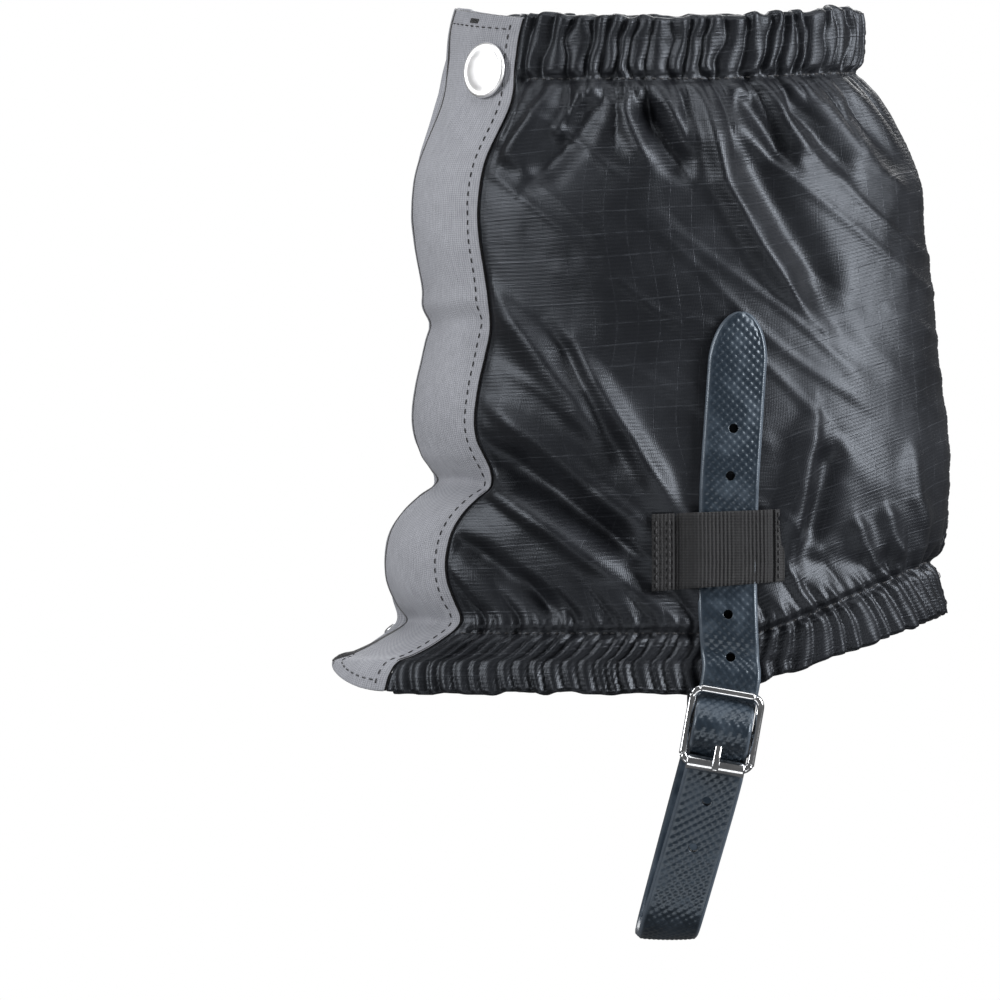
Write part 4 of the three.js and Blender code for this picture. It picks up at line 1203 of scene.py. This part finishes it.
def add_keeper():
    line = rounded(KEEPER_PROFILE)
    x = np.linspace(-2.8, 37.6, 200)
    lift = np.interp(x, line[:, 0], line[:, 1])
    share = np.linspace(0, 1, 56)
    low = 31 + (x + 2.5) * 0.08
    high = 55 + (x + 2.5) * 0.04
    z = low[None, :] + (high - low)[None, :] * share[:, None]
    xs = np.repeat(x[None, :], len(share), axis=0)
    lifts = np.repeat(lift[None, :], len(share), axis=0)
    lifts = lifts + 0.12 * np.sin(z / 3.1) * bump(21, 16, xs)
    folded = np.maximum(1 - smooth(3.9, 4.3, xs), smooth(34.2, 34.6, xs))
    edge = 0.25 * (smooth(0, 0.05, share)[:, None] * smooth(0, 0.05, 1 - share)[:, None] - 1)
    keeper = webbing_patch("webbing_keeper_band", xs, z, lifts, 1.15 + 1.05 * folded + edge, -1, 0.13)
    hand_over(keeper, "gaiter", "webbing", "webbing_keeper")
    for i, at in enumerate((-1.4, 2.6, 35.6)):
        z = np.linspace(31.6 + (at + 2.5) * 0.08, 54.4 + (at + 2.5) * 0.04, 60)
        lift = np.interp(at, line[:, 0], line[:, 1]) + 2.32
        points, outs = over_side(np.full(z.shape, at), z, lift)
        row = stitches(f"keeper_stitching_{i + 1}", points, outs, 1.7, 0.7, 0.25)
        hand_over(row, "gaiter", "webbing")


# ---- buckle -----------------------------------------------------------------------------------------
BUCKLE_UP = np.array([math.sin(BUCKLE_LEAN), 0, math.cos(BUCKLE_LEAN)])
BUCKLE_SIDE = np.array([math.cos(BUCKLE_LEAN), 0, -math.sin(BUCKLE_LEAN)])
BUCKLE_OUT = np.array([0, -1.0, 0])
BUCKLE_WIDTH = 23.7
BUCKLE_HEIGHT = 26.0
WIRE = 2.4
TOP_BAR = BUCKLE_HEIGHT / 2 - WIRE / 2
ROLLER_AT = -TOP_BAR + 0.6


def in_buckle(points):
    """Points given as (along the bars, out of the strap, up the buckle) in the part's frame."""
    along, out, up = np.split(np.asarray(points, float), 3, axis=-1)
    return PIVOT + along * BUCKLE_SIDE + out * BUCKLE_OUT + up * BUCKLE_UP


def round_section(half_across, half_out):
    """Outline between an ellipse and a rectangle."""
    squareness = 2.6
    turn = np.array(ellipse(1, 1, 20))
    return np.array([half_across, half_out]) * np.sign(turn) * np.abs(turn) ** (2 / squareness)


def cast_rod(name, points, half_across, half_out, closed=False):
    """Bright rod of rounded section along points given in the buckle's frame."""
    centres = in_buckle(points)
    way = directions(centres)
    if closed:
        way = unit(np.roll(centres, -1, axis=0) - np.roll(centres, 1, axis=0))
    ups = np.repeat(BUCKLE_OUT[None, :], len(centres), axis=0)
    ups = unit(ups - way * (ups * way).sum(axis=1)[:, None])
    sides = np.cross(way, ups)
    return swept(name, centres, sides, ups, round_section(half_across, half_out), CHROME, closed)


def add_buckle():
    wide, high, low, corner = (BUCKLE_WIDTH - WIRE) / 2, TOP_BAR, ROLLER_AT, 3.0
    path = []
    for cx, cz, start in (
        (wide - corner, high - corner, 0),
        (-wide + corner, high - corner, 90),
        (-wide + corner, low + corner, 180),
        (wide - corner, low + corner, 270),
    ):
        for step in range(11):
            a = math.radians(start + 9 * step)
            path.append((cx + corner * math.cos(a), 0, cz + corner * math.sin(a)))
    path = np.array(path)
    even = spline(np.concatenate([path, path[:1]]), 0.7)[:-1]
    even[:, 1] += 0.5 * bump(high, 4, even[:, 2])
    ring = cast_rod("buckle_frame_ring", even, WIRE / 2, WIRE / 2 + 0.05, closed=True)
    rod = [(0, -wide), (1.2, -wide), (1.2, wide), (0, wide)]
    combined(ring, lathe("centre_bar", rod, in_buckle([0, 0, 0]), BUCKLE_SIDE, CHROME, 32), "UNION")
    half = (BUCKLE_WIDTH - 2 * WIRE - 0.7) / 2
    bore, r = 1.32, 2.4
    roll = [(bore, -half), (r - 0.35, -half), (r - 0.08, -half + 0.15), (r, -half + 0.5), (r, half - 0.5)]
    roll += [(r - 0.08, half - 0.15), (r - 0.35, half), (bore, half), (bore, -half)]
    roller = lathe("buckle_roller_tube", roll, in_buckle([0, 0, low]), BUCKLE_SIDE, CHROME, 48)
    eye = [(0, 2.0 * math.cos(a), 2.0 * math.sin(a)) for a in np.radians(np.linspace(200, -62, 26))]
    tongue = [(0, 2.1, -3.0), (0, 3.0, -6.0), (0, 3.55, -8.6)]
    tongue += [(0, 3.5, ROLLER_AT - 0.2), (0, 3.3, ROLLER_AT - 1.6)]
    prong = cast_rod("buckle_prong_pin", spline(eye + tongue, 0.45), 1.1, 0.65)
    for piece, body, node in (
        (ring, "foot_strap", "buckle_frame"),
        (roller, "roller", "buckle_roller"),
        (prong, "prong", "buckle_prong"),
    ):
        hand_over(piece, body, "buckle_metal", node)


def add_anchor():
    half = 8.5
    route = [over_side(np.float64(20.6), np.float64(z), 1.35)[0] for z in (19.2, 14.0, 8.0, 2.0)]
    turn = [(1.95 * math.cos(a), 1.95 * math.sin(a)) for a in np.radians(np.linspace(185, 395, 16))]
    up_again = [(0.4, 2.9), (-1.2, 4.4), (-2.25, 6.2), (-2.3, 9.0)]
    folded = [(-3.3, 8.5), (-3.2, 6.0), (-2.6, 2.6)] + turn + up_again
    route += [in_buckle([0, out, up]) for out, up in folded]
    centres = spline(route, 0.35)
    way = directions(centres)
    blend_in = 1 - smooth(-4, 10, centres[:, 2])
    turn_by = BUCKLE_LEAN * blend_in
    sides = np.stack([np.cos(turn_by), 0 * turn_by, -np.sin(turn_by)], -1)
    outs = unit(np.cross(way, sides))
    share = np.linspace(-1, 1, 70)
    u = share[None, :] * half * np.ones((len(centres), 1))
    wave = 0.08 * np.cos(2 * math.pi * u / RIB_PITCH)
    base = centres[:, None, :] + sides[:, None, :] * u[..., None]
    run = run_along(centres)
    uv = np.stack([u, np.repeat(run[:, None], len(share), axis=1)], -1)
    outer, inner = base + outs[:, None, :] * (0.42 + wave)[..., None], base - outs[:, None, :] * 0.42
    web = two_sided("anchor_webbing", outer, inner, uv, WEBBING)
    slot_tool = new_object(
        "slot_tool",
        in_buckle([(x, o, z) for x in (-1.6, 1.6) for o in (-6, 6) for z in (-4.8, 3.6)]),
        [(0, 1, 3, 2), (4, 6, 7, 5), (0, 4, 5, 1), (2, 3, 7, 6), (0, 2, 6, 4), (1, 5, 7, 3)],
    )
    outward(slot_tool)
    combined(web, slot_tool, "DIFFERENCE")
    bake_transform(web)
    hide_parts("anchor_tab", "anchor_loop")


def add_medial_fastening():
    z = np.linspace(-22, 26, 110)
    corner = np.minimum(z + 22, 26 - z)
    half = 10 - 2.2 * (1 - np.sqrt(1 - np.clip(1 - corner / 2.2, 0, 1) ** 2))
    x = PIVOT[0] + np.linspace(-1, 1, 80)[None, :] * half[:, None]
    zs = np.repeat(z[:, None], 80, axis=1)
    lift = np.full(x.shape, 0.95)
    tab = webbing_patch("medial_webbing_tab", x, zs, lift, 1.4, 1, 0.08)
    punched(tab, [(RIVET_AT, INNER_SIDE, 2.0)])
    hand_over(tab, "gaiter", "webbing", "medial_tab")
    left, right, low, high = PIVOT[0] - 8.2, PIVOT[0] + 8.2, 6.0, 24.0
    box_line = np.array([(left, low), (right, low), (right, high), (left, high), (left, low), (right, high)])
    ends = zip(box_line[:-1], box_line[1:])
    dense = np.concatenate([np.linspace(a, b, 40, endpoint=False) for a, b in ends])
    points, outs = over_side(dense[:, 0], dense[:, 1], 2.42, 1)
    row = stitches("medial_tab_stitching", points, outs, 1.9, 0.9, 0.25)
    hand_over(row, "gaiter", "webbing")
    pin = [(0, -6.9), (1.2, -6.85), (1.8, -6.5), (1.8, 1.3), (4.5, 1.3)]
    pin += [(4.6, 1.6), (4.3, 2.1), (3.4, 2.6), (2, 2.9), (0, 3.0)]
    rivet = lathe("strap_rivet_pin", pin, RIVET_AT, INNER_SIDE, STEEL, 48)
    ring = [(1.95, -6.3), (4.2, -6.3), (4.5, -6.05), (4.5, -5.7), (4.3, -5.5), (1.95, -5.5), (1.95, -6.3)]
    burr = lathe("rivet_burr_ring", ring, RIVET_AT, INNER_SIDE, STEEL, 48)
    for piece, node in ((rivet, "strap_rivet"), (burr, "rivet_burr")):
        hand_over(piece, "gaiter", "steel", node)


# ---- lights and camera ---------------------------------------------------------------------------
AIM = (-0.01, 0, 0.08)


def add_light(name, at, size, power):
    data = bpy.data.lights.new(name, "AREA")
    data.shape = "RECTANGLE"
    data.size, data.size_y = size
    data.energy = power
    obj = bpy.data.objects.new(name, data)
    obj.location = at
    obj.rotation_euler = (Vector(AIM) - Vector(at)).to_track_quat("-Z", "Y").to_euler()
    bpy.context.scene.collection.objects.link(obj)


def add_lights():
    world = bpy.data.worlds.new("studio")
    world.use_nodes = True
    tree = world.node_tree
    tree.nodes["Background"].inputs["Strength"].default_value = 0.13
    behind = tree.nodes.new("ShaderNodeBackground")
    mixer = tree.nodes.new("ShaderNodeMixShader")
    rays = tree.nodes.new("ShaderNodeLightPath")
    for background in (tree.nodes["Background"], behind):
        background.inputs["Color"].default_value = (1, 1, 1, 1)
    tree.links.new(rays.outputs["Is Camera Ray"], mixer.inputs[0])
    tree.links.new(tree.nodes["Background"].outputs[0], mixer.inputs[1])
    tree.links.new(behind.outputs[0], mixer.inputs[2])
    tree.links.new(mixer.outputs[0], tree.nodes["World Output"].inputs["Surface"])
    bpy.context.scene.world = world
    add_light("top_soft_box", (0.1, -0.2, 1.3), (1.2, 0.8), 9.5)
    add_light("left_soft_box", (-1.25, -0.55, 0.6), (0.45, 1.0), 17)
    add_light("right_soft_box", (1.15, -0.62, 0.45), (0.6, 0.9), 34)
    add_light("low_bounce", (-0.2, -0.9, -0.8), (1.4, 0.5), 5)
    add_light("back_soft_box", (0.2, 1.2, 0.9), (1.2, 0.7), 12)


def add_camera():
    data = bpy.data.cameras.new("camera")
    data.sensor_width = 36.0
    distance, view_width = 8.0, 0.3125
    data.lens = data.sensor_width * distance / view_width
    camera = bpy.data.objects.new("camera", data)
    camera.location = (-0.05, -distance, 0.0594)
    camera.rotation_euler = (math.pi / 2, 0, 0)
    bpy.context.scene.collection.objects.link(camera)
    bpy.context.scene.camera = camera


bpy.context.scene.view_settings.view_transform = "Standard"
add_camera()
add_lights()
add_shell()
add_rear_tape()
add_hems()
add_strip()
add_underlap()
add_snap()
add_lace_hook()
add_strap_end()
add_under_foot_strap()
add_keeper()
add_buckle()
add_anchor()
add_medial_fastening()
